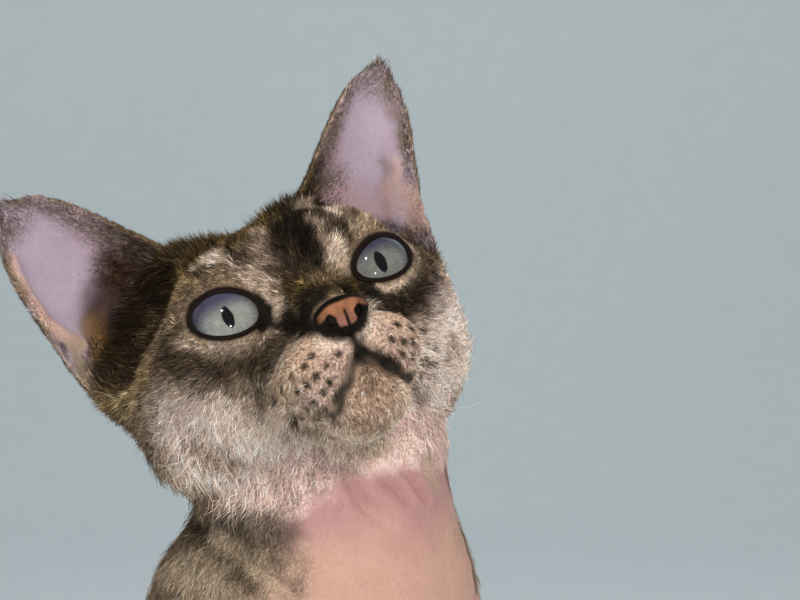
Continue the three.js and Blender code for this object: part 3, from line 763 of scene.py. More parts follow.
ears = {
    "innerRoot": (17.5, 3.0, 32.0),
    "outerRoot": (49.0, 9.0, 7.0),
    "tip": (52.5, 1.0, 55.0),
    "cup": 15.0,
    "narrows": {"left": 0.63, "right": 0.52},    # share of the width that goes towards the tip
    "curve": {"left": 0.7, "right": 1.0},
    "bow": {"left": 0.028, "right": 0.0},
    "bowlAt": (34.7, 0.8, 18.0),                 # the hollow of the head's side that the ear opens into
    "bowlRadii": (18.5, 13.5, 12.0),
}

for marks in (headMarks, neckMarks, earMarks):
    for each in marks:
        each["line"] = lineOnSkin(photoTree, each["at"])
mouthLines = [each["line"] for each in headMarks if each.get("lip")]
spotPoints = np.array(lineOnSkin(photoTree, whiskerRoots))


# where a point is on an ear: share across from the middle, share up to the tip, and depth behind the front face
def earPlace(local):
    mirrored = onLeftSide(local)
    inner, outer, tip = (np.array(ears[key]) for key in ("innerRoot", "outerRoot", "tip"))
    middle = (inner + outer) / 2
    upward, inward = tip - middle, inner - outer
    backward = unit(np.cross(inward, upward))
    backward = backward if backward[1] > 0 else -backward
    across, high, behind = np.linalg.solve(np.stack([inward, upward, backward], 1), (mirrored - middle).T)
    tall = np.clip(high, 0, 1)
    narrows, curve, bow = (np.where(local[:, 0] > 0, ears[key]["left"], ears[key]["right"])
                           for key in ("narrows", "curve", "bow"))
    spread = (1 - narrows * tall ** curve) * np.sqrt(np.maximum(1 - tall ** 6, 0.02))
    u = (across - 4 * bow * high * (1 - high)) / (0.5 * spread)
    hollow = ears["cup"] * (1 - 0.45 * high) * spread * (1 - np.clip(u, -1, 1) ** 2)
    return u, high, behind - hollow


# how deep a point lies in the hollow of the head's side, from 0 at its edge to 1 inside
def inBowl(local):
    mirrored = onLeftSide(local)
    along = unit(np.array(ears["outerRoot"]) - np.array(ears["innerRoot"]))
    ahead = unit(np.cross(along, (0.0, 1.0, 0.0)))
    offset = mirrored - np.array(ears["bowlAt"])
    axes = np.stack([along, np.cross(ahead, along), ahead], 1)
    size = np.linalg.norm((offset @ axes) / np.array(ears["bowlRadii"]), axis=1)
    return 1 - smooth(size, 0.92, 1.16)


# the part of an ear's hollow side that carries fine hair
def hairyBand(u, high):
    inner = smooth(u, 0.42, 0.80) * 0.9
    low = smooth(u, 0.0, 0.5) * (1 - smooth(high, 0.2, 0.42))
    outer = smooth(-u, 0.66, 0.90) * (0.35 + 0.6 * smooth(high, 0.25, 0.45))
    top = smooth(high, 0.70, 0.92) * 0.8
    lobe = (1 - smooth(high, 0.05, 0.14)) * smooth(-u, 0.0, 0.4)
    return np.clip(np.maximum.reduce([inner, low, outer, top, lobe]), 0, 1)


pattern = {
    "blotch": 26,                                # sizes of the chance waves in the colours
    "fineBlotch": 7,
    "clump": 8,
    "warpSize": 6,
    "warp": 0.8,                                 # how far marks are pushed about by chance
    "whiskerSpot": (0.55, 1.3),
    "noseAt": (0, -51, -7),
    "noseRadii": (6.2, 5.5, 4.6),
    "fluffAcross": (-30, -1, 11, 28),            # from the head's middle to the right, as the camera sees it
    "fluffHeight": (238, 242.5, 251.5, 256),     # heights are over the floor
    "whiteNeck": (236, 252),
    "pinkThroat": (233, 249),
    "bareTrunk": (70, 150),
    "spineFromHead": 7,                          # how far to the cat's left of the head's middle the spine is
    "stripe": 25,                                # from one stripe, bar or ring to the next
    "bar": 17,
    "ring": 24,
    "tailMiddle": (-40, 30),                     # the middle and radius of the tail's bend
    "tailBend": 85,
    "darkTip": (70, 95),
}


def mixTone(colour, tone, share):
    target = np.array(tones[tone]) if isinstance(tone, str) else tone
    return colour + (target - colour) * share[:, None]


# one tone for many points, each as bright as its own factor
def evenTone(tone, brightness):
    return np.array(tones[tone]) * brightness[:, None]


def withMarks(colour, marks, at):
    for each in marks:
        distance = lineDistance(at, each["line"], each.get("both"))
        if "side" in each:
            distance = np.where(at[:, 0] * each["side"] > 0, distance, np.inf)
        cover = each["strength"] * (1 - smooth(distance, each["radius"] * 0.5, each["radius"] + each["soft"]))
        colour = mixTone(colour, each["tone"], cover)
    return colour


# width of the lids' dark rim, from the place round the opening: out is -1 at the inner corner and 1 at the outer
def rimWidth(side, out, high):
    inner = smooth(-out, 0.80, 1.0) * smooth(0.30 - high, 0.0, 0.45)
    return (eyes["rim"] + eyes["rimAbove"] * smooth(high, -0.1, 0.6)
            + eyes["rimInner"][side] * inner + eyes["rimOuter"] * smooth(out, 0.7, 1.0))


# the jaw's fluff ends on the neck along a line that rises towards the cat's left, as the camera sees it
def aboveFluffEdge(at):
    return at[:, 2] - np.interp((at - headAt) @ viewRight, pattern["fluffAcross"], pattern["fluffHeight"])


# the one function that colours skin and tufts: colour, and how bare the skin is, at points of the skin
def painted(at, facing, share):
    local = toHead(at)
    x, y, z = local.T
    blotch = drift(at, pattern["blotch"], 1)
    fineBlotch = drift(at, pattern["fineBlotch"], 2)
    # the head
    head = evenTone("brown", 1 + 0.25 * fineBlotch)
    head = mixTone(head, "olive", smooth(z + 0.25 * y + 1.5 * fineBlotch, 7, 16) * 0.95)
    low = smooth(-z - 0.25 * np.abs(x) + 1.5 * fineBlotch, -2, 12) * smooth(-y, -12, 6)
    head = mixTone(head, "pale", low * 0.9)
    head = mixTone(head, "dark", smooth(y + 2 * blotch, 4, 22) * 0.6)
    # brown streaks of painted shade between the clumps of the long fluff, used on the jaw and the neck
    shadeBetweenClumps = smooth(drift(at * (1, 1, 0.6), pattern["clump"], 6) + 0.5 * fineBlotch, 0.25, 1.0)
    warp = local + pattern["warp"] * np.stack([drift(at, pattern["warpSize"], seed) for seed in (3, 4, 5)], 1)
    head = withMarks(head, headMarks, warp)
    # painted shade between the clumps of the jaw's fluff
    head = mixTone(head, "brown", 0.5 * shadeBetweenClumps * jawShare(local))
    spots = np.minimum.reduce([np.linalg.norm(local - spot, axis=1) for spot in spotPoints])
    head = mixTone(head, "dark", 0.97 * (1 - smooth(spots + 0.15 * fineBlotch, *pattern["whiskerSpot"])))
    head = mixTone(head, "earFur", inBowl(local) * 0.97)
    noseGap = np.linalg.norm((local - pattern["noseAt"]) / pattern["noseRadii"], axis=1)
    head = mixTone(head, "black", 1 - smooth(noseGap, 1.0, 1.25))
    rim = np.zeros(len(at))
    for side in (1, -1):
        distance, u, v = lidDistance(local, side)
        width = rimWidth(side, u / eyes["halfWidth"][side], v / eyes["upper"][side])
        rim = np.maximum(rim, 1 - smooth(distance, width * 0.8, width + 0.5))
    head = mixTone(head, "black", rim)
    # the neck and the chest: bare and pink in front, brown at the sides, with paler curls lower down
    front = -facing[:, 1] + 0.06 * blotch + 0.02 * fineBlotch
    openNeck = smooth(front, 0.28, 0.82)
    high = at[:, 2]
    neck = evenTone("brown", 1 + 0.2 * blotch)
    neck = mixTone(neck, "taupe", smooth(front, -0.4, 0.5) * 0.6)
    neck = mixTone(neck, "white", smooth(high, *pattern["whiteNeck"]) * smooth(front, -0.3, 0.3) * 0.8)
    throat = smooth(high + 3 * blotch, *pattern["pinkThroat"])
    skinTone = evenTone("peachSkin", 1 - throat) + evenTone("pinkSkin", throat)
    neck = mixTone(neck, skinTone, openNeck)
    fluff = aboveFluffEdge(at) + 1.5 * blotch + 1.5 * fineBlotch
    neck = mixTone(neck, "white", 0.55 * smooth(fluff, -2, 5) * openNeck)
    # painted shade between the clumps of the neck's fluff
    neck = mixTone(neck, "brown", 0.35 * shadeBetweenClumps * smooth(fluff, -2, 5))
    neck = withMarks(neck, neckMarks, warp)
    # the trunk, limbs and tail of a brown tabby
    down = at[:, 1] * 0.62 - at[:, 2] * 0.78
    middle = np.abs(at[:, 0] - headAt[0] - pattern["spineFromHead"])
    stripe = smooth(np.sin(2 * math.pi * (down + 7 * blotch + 0.25 * middle) / pattern["stripe"]), 0.0, 0.85)
    onBack = smooth(facing[:, 1] + facing[:, 2], 0.2, 0.9)
    openTrunk = openNeck * smooth(high, *pattern["bareTrunk"])
    trunk = evenTone("taupe", 0.85 + 0.2 * blotch)
    trunk = mixTone(trunk, "dark", 0.62 * stripe * smooth(middle, 4, 14) * (1 - smooth(-facing[:, 2], 0.2, 0.7)))
    trunk = mixTone(trunk, "dark", 0.75 * (1 - smooth(middle + 2 * blotch, 3, 10)) * onBack)
    trunk = mixTone(trunk, skinTone, openTrunk)
    trunk = mixTone(trunk, "pale", smooth(-facing[:, 1] - facing[:, 2], 0.3, 1.0) * 0.5 * (1 - openNeck))
    bars = smooth(np.sin(2 * math.pi * (high + 3 * blotch) / pattern["bar"]), 0.1, 0.9)
    limb = evenTone("taupe", 0.8 + 0.2 * blotch)
    limb = mixTone(limb, "dark", 0.6 * bars * smooth(np.abs(facing[:, 0]) - facing[:, 1] * 0.3, -0.2, 0.5))
    foot = evenTone("taupe", 0.9 + 0.15 * fineBlotch)
    tailAcross, tailBack = (at[:, :2] - pattern["tailMiddle"]).T
    turn = np.arctan2(tailBack, tailAcross) * pattern["tailBend"]
    rings = smooth(np.sin(2 * math.pi * turn / pattern["ring"]), 0.0, 0.8)
    tail = mixTone(evenTone("taupe", 0.8 + 0.2 * blotch), "dark", 0.7 * rings)
    tail = mixTone(tail, "black", 0.8 * smooth(-at[:, 1], *pattern["darkTip"]))
    # the ears: bare and lilac inside, brown hair on the back and the rim
    u, tipward, behind = earPlace(local)
    inside = 1 - smooth(behind, -0.2, 0.5)
    band = hairyBand(u, tipward)
    edge = smooth(np.maximum(np.abs(u), smooth(tipward, 0.8, 1.0)), 0.90, 1.0)
    ear = evenTone("lilac", 1 + 0.05 * blotch)
    ear = mixTone(ear, "lilacPink", smooth(u - tipward, -0.3, 0.5) * 0.7)
    ear = mixTone(ear, "earHair", band * (0.75 + 0.2 * fineBlotch))
    ear = mixTone(ear, "dark", smooth(u, 0.45, 0.95) * (1 - smooth(tipward + 0.1 * fineBlotch, 0.18, 0.5)) * 0.9)
    ear = withMarks(ear, earMarks, warp)
    ear = mixTone(ear, "ochre", edge * 0.5)
    backOfEar = mixTone(np.array(tones["brown"]), "dark", 0.3 + 0.5 * smooth(blotch, -0.5, 1))
    ear = ear * inside[:, None] + backOfEar * (1 - inside[:, None])
    layers = {"head": head, "ear": ear, "neck": neck, "trunk": trunk, "arm": limb, "leg": limb,
              "foot": foot, "tail": tail}
    colour = sum(layers[name] * share[:, k:k + 1] for k, name in enumerate(regionNames))
    lips = np.minimum.reduce([lineDistance(local, line) for line in mouthLines])
    bareHead = np.maximum.reduce([rim, 1 - smooth(noseGap, 1.0, 1.15), 1 - smooth(lips, 1.2, 2.1)])
    openSkin = openNeck * (1 - 0.9 * smooth(fluff, -3, 6))
    bares = {"neck": openSkin, "trunk": openTrunk, "ear": inside * (1 - band), "head": bareHead}
    bare = sum(share[:, regionAt[name]] * amount for name, amount in bares.items())
    return np.clip(colour, 0.003, 0.92), np.clip(bare, 0, 1)


def setTint(piece, colours, name="tint"):
    layer = piece.data.attributes.new(name, "FLOAT_COLOR", "POINT")
    values = np.ones((len(colours), 4), np.float32)
    values[:, :3] = colours
    layer.data.foreach_set("color", values.ravel())


skinColour, skinBare = painted(points, broadNormals, shares)
setTint(body, skinColour)
setTint(body, np.repeat(skinBare[:, None], 3, 1), "bare")
shadeSmooth(body.data)
print("stage: skin painted")

# materials


class Value:
    def __init__(self, paint, socket):
        self.paint = paint
        self.socket = socket

    def of(self, operation, *others):
        return self.paint.node("ShaderNodeMath", {"operation": operation}, {0: self, **dict(enumerate(others, 1))})

    def __add__(self, other):
        return self.of("ADD", other)

    def __radd__(self, other):
        return self.of("ADD", other)

    def __sub__(self, other):
        return self.of("SUBTRACT", other)

    def __rsub__(self, other):
        return self.paint.node("ShaderNodeMath", {"operation": "SUBTRACT"}, {0: other, 1: self})

    def __mul__(self, other):
        return self.of("MULTIPLY", other)

    def __rmul__(self, other):
        return self.of("MULTIPLY", other)

    def __truediv__(self, other):
        return self.of("DIVIDE", other)

    def __pow__(self, other):
        return self.of("POWER", other)


class Paint:
    def __init__(self, name, **constants):
        self.material = bpy.data.materials.new(name)
        self.material.use_nodes = True
        self.tree = self.material.node_tree
        self.shader = next(n for n in self.tree.nodes if n.type == "BSDF_PRINCIPLED")
        for key, value in constants.items():
            self.shader.inputs[key].default_value = value

    def node(self, kind, settings=None, values=None, out=0):
        made = self.tree.nodes.new(kind)
        for key, value in (settings or {}).items():
            if key == "stops":
                self.setStops(made, value)
            else:
                setattr(made, key, value)
        for key, value in (values or {}).items():
            if isinstance(value, Value):
                self.tree.links.new(value.socket, made.inputs[key])
            else:
                made.inputs[key].default_value = value
        return Value(self, made.outputs[out])

    def setStops(self, ramp, stops):
        elements = ramp.color_ramp.elements
        while len(elements) > 1:
            elements.remove(elements[-1])
        for i, (place, colour) in enumerate(stops):
            element = elements[0] if i == 0 else elements.new(place)
            element.position = place
            element.color = (*colour, 1)

    def feed(self, name, value):
        self.tree.links.new(value.socket, self.shader.inputs[name])

    def mix(self, share, first, second, blend="MIX"):
        return self.node("ShaderNodeMix", {"data_type": "RGBA", "blend_type": blend},
                         {0: share, 6: first, 7: second}, out=2)

    def place(self):
        return self.node("ShaderNodeTexCoord", out=3)

    def noise(self, scale, detail=2.0, roughness=0.5, vector=None):
        return self.node("ShaderNodeTexNoise", None, {"Vector": vector or self.place(), "Scale": scale,
                                                      "Detail": detail, "Roughness": roughness})

    def times(self, first, second):
        return self.mix(1.0, first, second, "MULTIPLY")

    # a value between low and high taken to one between first and last
    def remap(self, value, low, high, first, last, kind="SMOOTHSTEP"):
        return self.node("ShaderNodeMapRange", {"interpolation_type": kind},
                         {0: value, 1: low, 2: high, 3: first, 4: last})

    def cells(self, scale):
        return self.node("ShaderNodeTexVoronoi", {"feature": "F1"}, {"Vector": self.place(), "Scale": scale})

    def bump(self, height, strength, distance):
        return self.node("ShaderNodeBump", None, {"Height": height, "Strength": strength, "Distance": distance})

    def tint(self, name="tint"):
        return self.node("ShaderNodeAttribute", {"attribute_name": name})


def skinMaterial():
    paint = Paint("skin", Roughness=0.55, **{"Specular IOR Level": 0.12, "Subsurface Weight": 0.12,
                                             "Subsurface Scale": 0.004, "Subsurface Radius": (1.0, 0.4, 0.25)})
    grain = paint.noise(900, 3, 0.6)
    pores = paint.cells(1400)
    patch = paint.noise(140, 3, 0.6)
    tone = paint.mix((grain - 0.5) * 0.5 + 0.5, (0.80, 0.78, 0.78, 1), (1.18, 1.2, 1.2, 1))
    flush = paint.mix(patch, (0.9, 0.86, 0.86, 1), (1.1, 1.12, 1.12, 1))
    base = paint.times(paint.times(paint.tint(), tone), flush)
    # where short hair grows, the skin between the tufts is as broken as they are
    hairs = paint.remap(paint.noise(1500, 3, 0.7), 0.35, 0.65, 0.35, 1.6, "LINEAR")
    paint.feed("Base Color", paint.mix(paint.tint("bare"), paint.times(base, hairs), base))
    paint.feed("Roughness", 0.45 + patch * 0.2)
    paint.feed("Normal", paint.bump(grain * 0.5 + pores * 0.5, 0.35, 0.0004))
    return paint.material


def coatMaterial(name, roughness):
    paint = Paint(name, Roughness=roughness, **{"Specular IOR Level": 0.09})
    grain = paint.noise(2200, 2, 0.5)
    tone = paint.mix(grain, (0.58, 0.57, 0.56, 1), (1.42, 1.42, 1.42, 1))
    paint.feed("Base Color", paint.times(paint.tint(), tone))
    paint.feed("Roughness", roughness - 0.1 + grain * 0.2)
    return paint.material


def wear(piece, material):
    piece.data.materials.clear()
    piece.data.materials.append(material)


wear(body, skinMaterial())

# the unwrap of the skin, which tufts use for their roots

inEditMode(body, bpy.ops.uv.smart_project, angle_limit=math.radians(75), island_margin=0.001)
body.data.uv_layers[0].name = "OFBake"
skinMap = rowsOf(body.data.uv_layers[0].data, "uv", 2).reshape(-1, 3, 2)
print("stage: skin unwrapped")

# the lie of the coat

chains = [
    ["neck", "chest", "loin"],
    ["upper_arm_left", "forearm_left", "front_paw_left"],
    ["upper_arm_right", "forearm_right", "front_paw_right"],
    ["thigh_left", "shank_left"],
    ["thigh_right", "shank_right"],
    ["hind_foot_left", "hind_paw_left"],
    ["hind_foot_right", "hind_paw_right"],
    ["tail_1", "tail_2", "tail_3", "tail_4"],
]

# where the hair lies in another way than along the chain
ownLie = {
    "thigh": (0, 0.25, -1.0), "hind_foot": (0, -1.0, -0.1), "hind_paw": (0, -1.0, -0.2), "front_paw": (0, -1.0, -0.3),
    "shank": (0, 1.0, -0.45), "chest": (0, 0.45, -0.9), "neck": (0, 0.15, -1.0), "loin": (0, 0.6, -0.8),
}


# the way the hair lies at each point of the skin
def lieOfCoat():
    middle = {name: cornersOf(name).mean(0) for name in fleshNodes}
    lie = {}
    for chain in chains:
        for k, name in enumerate(chain):
            before = middle[chain[max(k - 1, 0)]]
            after = middle[chain[min(k + 1, len(chain) - 1)]]
            lie[name] = unit(after - before)
    for name, way in ownLie.items():
        for ending in ("", "_left", "_right"):
            lie[name + ending] = unit(np.array(way))
    field = np.array([lie.get(name, np.zeros(3)) for name in fleshNodes])[owners]
    local = toHead(points)
    noseTip = np.array((0, -52, -2))
    flow = unit(local - noseTip)
    flow[:, 2] += -0.35 * smooth(-local[:, 2], 0, 20) + 0.15 * smooth(local[:, 2], 5, 20)
    flow[:, 1] += 0.45
    isHead = regionIndex == regionAt["head"]
    field[isHead] = unit(flow[isHead]) @ headAxes.T
    inner, outer, tip = (np.array(ears[key]) for key in ("innerRoot", "outerRoot", "tip"))
    isEar = regionIndex == regionAt["ear"]
    earUp = unit(tip - (inner + outer) / 2)
    earLie = np.where(local[:, :1] < 0, earUp * (-1, 1, 1), earUp)
    field[isEar] = earLie[isEar] @ headAxes.T
    field = field - normals * (field * normals).sum(1)[:, None]
    field = relaxed(unit(field), edges, 12)
    return unit(field - normals * (field * normals).sum(1)[:, None])


lie = lieOfCoat()

# tufts

coat = {
    "shortTufts": 500000,
    "curls": 175000,
    "shortPerPiece": 160000,
    "curlsPerPiece": 36000,
    "mapPatch": 0.003,            # a tuft's place on the skin's unwrap is about this large
    "lowestRoot": 0.2,
    "lowest": 0.3,                # over the floor
    "shortSpread": (0.6, 1.3),    # chance factors of the length
    "curlSpread": (0.6, 1.2),
    "shortWidth": (0.14, 0.022),  # in mm, and for each mm of length
    "curlWidth": (0.10, 0.055),
    "bareLength": 1.6,
    "shortLift": 13,              # degrees from the skin, at the fur beside the ears this much more, and by chance
    "crestLift": 20,
    "liftSpread": 6,
    "curlLift": 20,
    "waveLength": 4.5,            # and this much longer on the trunk
    "trunkWave": 3.5,
    "shortSink": 0.12,            # how far roots lie under the skin
    "curlSink": 0.3,
    "shortLength": {"head": 2.3, "ear": 1.7, "neck": 2.2, "trunk": 3.0, "arm": 2.6, "leg": 3.0, "foot": 2.2,
                    "tail": 2.6},
    "shortShare": {"head": 1.5, "ear": 1.1, "neck": 0.25, "trunk": 0.12, "arm": 0.16, "leg": 0.14, "foot": 0.5,
                   "tail": 0.2},
    "curlLength": {"head": 3.2, "ear": 2.0, "neck": 5.0, "trunk": 8.0, "arm": 5.2, "leg": 6.6, "foot": 2.8,
                   "tail": 5.0},
    "curlShare": {"head": 0.06, "ear": 0.0, "neck": 1.0, "trunk": 1.0, "arm": 1.0, "leg": 1.0, "foot": 1.2,
                  "tail": 1.0},
    "lightTip": (0.34, 0.235, 0.125),
    "paleTip": (0.66, 0.52, 0.38),
}


# chance places on the skin's triangles, more of them where the density is higher
def scatter(count, density, seed):
    chance = np.random.default_rng(seed)
    a, b, c = (points[triangles[:, k]] for k in range(3))
    area = np.linalg.norm(np.cross(b - a, c - a), axis=1) / 2
    weight = area * density[triangles].mean(1)
    chosen = chance.choice(len(triangles), size=count, p=weight / weight.sum())
    r1, r2 = np.sqrt(chance.random(count)), chance.random(count)
    bary = np.stack([1 - r1, r1 * (1 - r2), r1 * r2], 1)
    return chosen, bary, chance


def atRoots(values, chosen, bary):
    return (values[triangles[chosen]] * bary[:, :, None]).sum(1)


# flat blades that narrow to a point, as one mesh. Each lies on the unwrap in a small patch at its root's place.
def tuftPiece(name, roots, steps, side, width, taper, tintRoot, tintTip, mapAt):
    count, segments = len(roots), steps.shape[1]
    perTuft = 2 * segments + 1
    patch = coat["mapPatch"]
    at = np.empty((count, perTuft, 3))
    tint = np.ones((count, perTuft, 4), np.float32)
    uv = np.empty((count, perTuft, 2))
    for s in range(segments):
        centre = roots if s == 0 else steps[:, s - 1]
        half = side * (width * taper[s] / 2)[:, None]
        at[:, 2 * s] = centre - half
        at[:, 2 * s + 1] = centre + half
        share = s / segments
        for k in (0, 1):
            tint[:, 2 * s + k, :3] = tintRoot * (1 - share) + tintTip * share
            uv[:, 2 * s + k] = mapAt + (patch * (k - 0.5), patch * (share - 0.5))
    at[:, -1] = steps[:, -1]
    tint[:, -1, :3] = tintTip
    uv[:, -1] = mapAt + (0, patch / 2)
    faces = []
    for s in range(segments - 1):
        faces += [(2 * s, 2 * s + 1, 2 * s + 3), (2 * s, 2 * s + 3, 2 * s + 2)]
    faces.append((2 * segments - 2, 2 * segments - 1, 2 * segments))
    faces = np.array(faces)
    corners = (faces[None] + (np.arange(count) * perTuft)[:, None, None]).reshape(-1)
    mesh = bpy.data.meshes.new(name)
    mesh.vertices.add(count * perTuft)
    mesh.vertices.foreach_set("co", (at / perMetre).ravel())
    mesh.loops.add(len(corners))
    mesh.loops.foreach_set("vertex_index", corners)
    mesh.polygons.add(len(corners) // 3)
    mesh.polygons.foreach_set("loop_start", np.arange(0, len(corners), 3))
    shadeSmooth(mesh)
    mesh.update(calc_edges=True)
    layer = mesh.attributes.new("tint", "FLOAT_COLOR", "POINT")
    layer.data.foreach_set("color", tint.ravel())
    uvLayer = mesh.uv_layers.new(name="OFBake")
    uvLayer.data.foreach_set("uv", np.clip(uv.reshape(-1, 2)[corners], 0, 1).ravel())
    piece = bpy.data.objects.new(name, mesh)
    bpy.context.scene.collection.objects.link(piece)
    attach(piece, "root")
    return piece


crestLine = lineOnSkin(photoTree, [(140, 256), (160, 250), (188, 248), (218, 242)])


# the fur beside the ears, which stands up
def crest(local):
    return 1 - smooth(lineDistance(local, crestLine, True), 3, 10)


# places in the head's frame where its hair is shorter
shortHair = {
    "padAt": (8, -46, -14),
    "padRadii": (11, 11, 16),
    "chinAt": (0, -38, -27),
    "chinRadii": (10, 10, 9),
    "noseAt": (0, -51, -6),
    "padsLose": 0.72,
    "chinKeeps": 0.45,
    "lidsKeep": 0.35,
    "noseKeeps": 0.35,
}


# how long the head's hair is at points of the head, next to what its region says
def headLength(local):
    y = local[:, 1]
    length = 1 + 0.55 * smooth(y, -20, 10) + 0.75 * jawShare(local) + 0.5 * crest(local)
    padGap = np.linalg.norm((onLeftSide(local) - shortHair["padAt"]) / shortHair["padRadii"], axis=1)
    length = length * (1 - shortHair["padsLose"] * np.exp(-padGap ** 2))
    chinGap = np.linalg.norm((local - shortHair["chinAt"]) / shortHair["chinRadii"], axis=1)
    length = length * rising(shortHair["chinKeeps"], chinGap, 0.6, 1.4)
    for side in (1, -1):
        length = length * rising(shortHair["lidsKeep"], lidDistance(local, side)[0], 1.0, 7.0)
    noseGap = np.linalg.norm(local - shortHair["noseAt"], axis=1)
    return length * rising(shortHair["noseKeeps"], noseGap, 6, 15)


# one kind of tuft over the whole skin, in pieces of a limited size
def tufts(name, count, density, perPiece, material, seed, shape):
    chosen, bary, chance = scatter(count, density, seed)
    roots = atRoots(points, chosen, bary)
    facing = unit(atRoots(normals, chosen, bary))
    share = atRoots(shares, chosen, bary)
    flow = atRoots(lie, chosen, bary)
    mapAt = (skinMap[chosen] * bary[:, :, None]).sum(1)
    colour, bare = painted(roots, unit(atRoots(broadNormals, chosen, bary)), share)
    steps, width, taper, bladeSide, rootTint, tipTint, sink = shape(roots, facing, share, flow, colour, bare, chance)
    low = roots - facing * sink
    low[:, 2] = np.maximum(low[:, 2], coat["lowestRoot"])
    steps[:, :, 2] = np.maximum(steps[:, :, 2], coat["lowest"])
    rootTint, tipTint = np.clip(rootTint, 0.002, 0.9), np.clip(tipTint, 0.002, 0.92)
    for k, start in enumerate(range(0, count, perPiece)):
        part = slice(start, start + perPiece)
        piece = tuftPiece(f"{name}_{k + 1}", low[part], steps[part], bladeSide[part], width[part],
                          taper, rootTint[part], tipTint[part], mapAt[part])
        wear(piece, material)


# a blade's flat side, rolled by chance out of the skin's plane
def rolled(side, facing, spread, chance):
    roll = chance.normal(0, spread, len(side))
    return unit(side * np.cos(roll)[:, None] + facing * np.sin(roll)[:, None])


# the short coat: single fine blades that follow the lie closely
def shortTuft(roots, facing, share, flow, colour, bare, chance):
    count = len(roots)
    local = toHead(roots)
    onHead = share[:, regionAt["head"]]
    length = byRegion(coat["shortLength"], share) * (1 + (headLength(local) - 1) * onHead)
    atTip = smooth(earPlace(local)[1], 0.90, 0.98) * share[:, regionAt["ear"]]
    length = np.where(bare > 0.5, np.minimum(length, coat["bareLength"]), length * (1 + 1.6 * atTip))
    length = length * chance.uniform(*coat["shortSpread"], count)
    least, perLength = coat["shortWidth"]
    width = (least + perLength * length) * chance.uniform(0.75, 1.25, count)
    standing = crest(local) * onHead
    lift = coat["shortLift"] + coat["crestLift"] * standing
    lift = lift + chance.normal(0, coat["liftSpread"] + 8 * standing, count)
    lift = np.clip(np.radians(lift), 0.03, 1.1)
    wave = drift(roots, 6, 21) * 0.35 + chance.normal(0, 0.25, count)
    side = np.cross(facing, flow)
    along = unit(flow * np.cos(wave)[:, None] + side * np.sin(wave)[:, None])
    side = unit(np.cross(facing, along))
    steps = roots + along * (np.cos(lift) * length)[:, None] + facing * (np.sin(lift) * length)[:, None]
    bladeSide = rolled(side, facing, 0.4, chance)
    lightness = colour.mean(1)
    amount = 0.48 + 0.22 * (1 - smooth(lightness, 0.08, 0.5)) - 0.14 * smooth(lightness, 0.3, 0.6)
    amount = amount * (1 - 0.8 * bare)
    width = width * (1 - 0.35 * bare)
    tick = np.exp(amount * (0.7 * chance.normal(0, 1, count) + 1.0 * cellChance(roots, 0.6, 51)) - 0.7 * amount ** 2)
    agouti = (chance.random(count) < 0.15) * chance.uniform(0.25, 1, count)
    agouti = agouti * (0.08 + 0.92 * smooth(lightness, 0.012, 0.08)) * (1 - smooth(lightness, 0.2, 0.4))
    # each blade is darker at its root and lighter at its tip: partly the hair's own colour, partly painted shade deep
    # in the coat
    rootTint = colour * ((0.8 + 0.2 * bare) * tick)[:, None]
    tipTint = colour * ((1.3 - 0.15 * bare) * tick)[:, None]
    tipTint = tipTint + (np.array(coat["lightTip"]) - tipTint) * (0.6 * agouti)[:, None]
    return steps[:, None], width, (1.0,), bladeSide, rootTint, tipTint, coat["shortSink"]


# the curls: longer blades of three bends, whose waves are shared by neighbours
def curl(roots, facing, share, flow, colour, bare, chance):
    count = len(roots)
    head, neck, trunk, arm, foot = (share[:, regionAt[name]] for name in ("head", "neck", "trunk", "arm", "foot"))
    length = byRegion(coat["curlLength"], share) * (1 + (headLength(toHead(roots)) - 1) * head)
    length = length * chance.uniform(*coat["curlSpread"], count)
    lowLeg = 1 - smooth(roots[:, 2], 30, 110)
    length = length * (1 - 0.35 * lowLeg * arm)
    length = length * (1 - 0.75 * smooth(bare, 0.0, 0.5))
    length = length * (1 + 0.45 * smooth(aboveFluffEdge(roots), 0, 8) * neck)
    fine = head + 0.9 * neck
    least, perLength = coat["curlWidth"]
    width = ((perLength - 0.035 * fine) * length + least) * (1 - 0.3 * neck)
    waveLength = coat["waveLength"] + coat["trunkWave"] * trunk
    phase = 2 * math.pi * ((roots * flow).sum(1) / waveLength + 1.1 * drift(roots, 30, 31))
    turn = 0.75 * np.sin(phase) + chance.normal(0, 0.3, count)
    side = np.cross(facing, flow)
    curly = 1 - 0.6 * foot + 0.3 * head
    steps = np.empty((count, 3, 3))
    at = roots.copy()
    lift = np.radians(coat["curlLift"] + 12 * np.sin(phase + 1.2) + chance.normal(0, 8, count)) * (1 - 0.35 * neck)
    for s in range(3):
        bend = turn + curly * 0.95 * np.sin(phase + 2.0 * s)
        along = unit(flow * np.cos(bend)[:, None] + side * np.sin(bend)[:, None])
        climb = np.sin(np.clip(lift, 0.05, 1.0)) * (1.15, 0.55, -0.1)[s]
        at = at + (along * (length / 3)[:, None]) + facing * (climb * length / 3)[:, None]
        steps[:, s] = at
    bladeSide = rolled(side, facing, 0.5, chance)
    lightness = colour.mean(1)
    amount = 1 - 0.45 * smooth(lightness, 0.2, 0.6)
    tick = np.exp(amount * (0.28 * chance.normal(0, 1, count) + 0.34 * cellChance(roots, 1.8, 52)) - 0.08)
    tick = tick * (1 + 0.25 * np.sin(phase + 0.6))
    # each curl is darker at its root and lighter at its tip: partly the hair's own colour, partly painted shade deep
    # in the coat
    rootTint = colour * ((0.75 + 0.2 * fine) * tick)[:, None]
    tipTint = colour * ((1.4 - 0.15 * fine) * tick)[:, None]
    pale = 0.35 * chance.random(count) ** 2 * smooth(lightness, 0.04, 0.2) * (1 - head)
    tipTint = tipTint + (np.array(coat["paleTip"]) - tipTint) * pale[:, None]
    return steps, width, (0.9, 1.0, 0.7), bladeSide, rootTint, tipTint, coat["curlSink"]


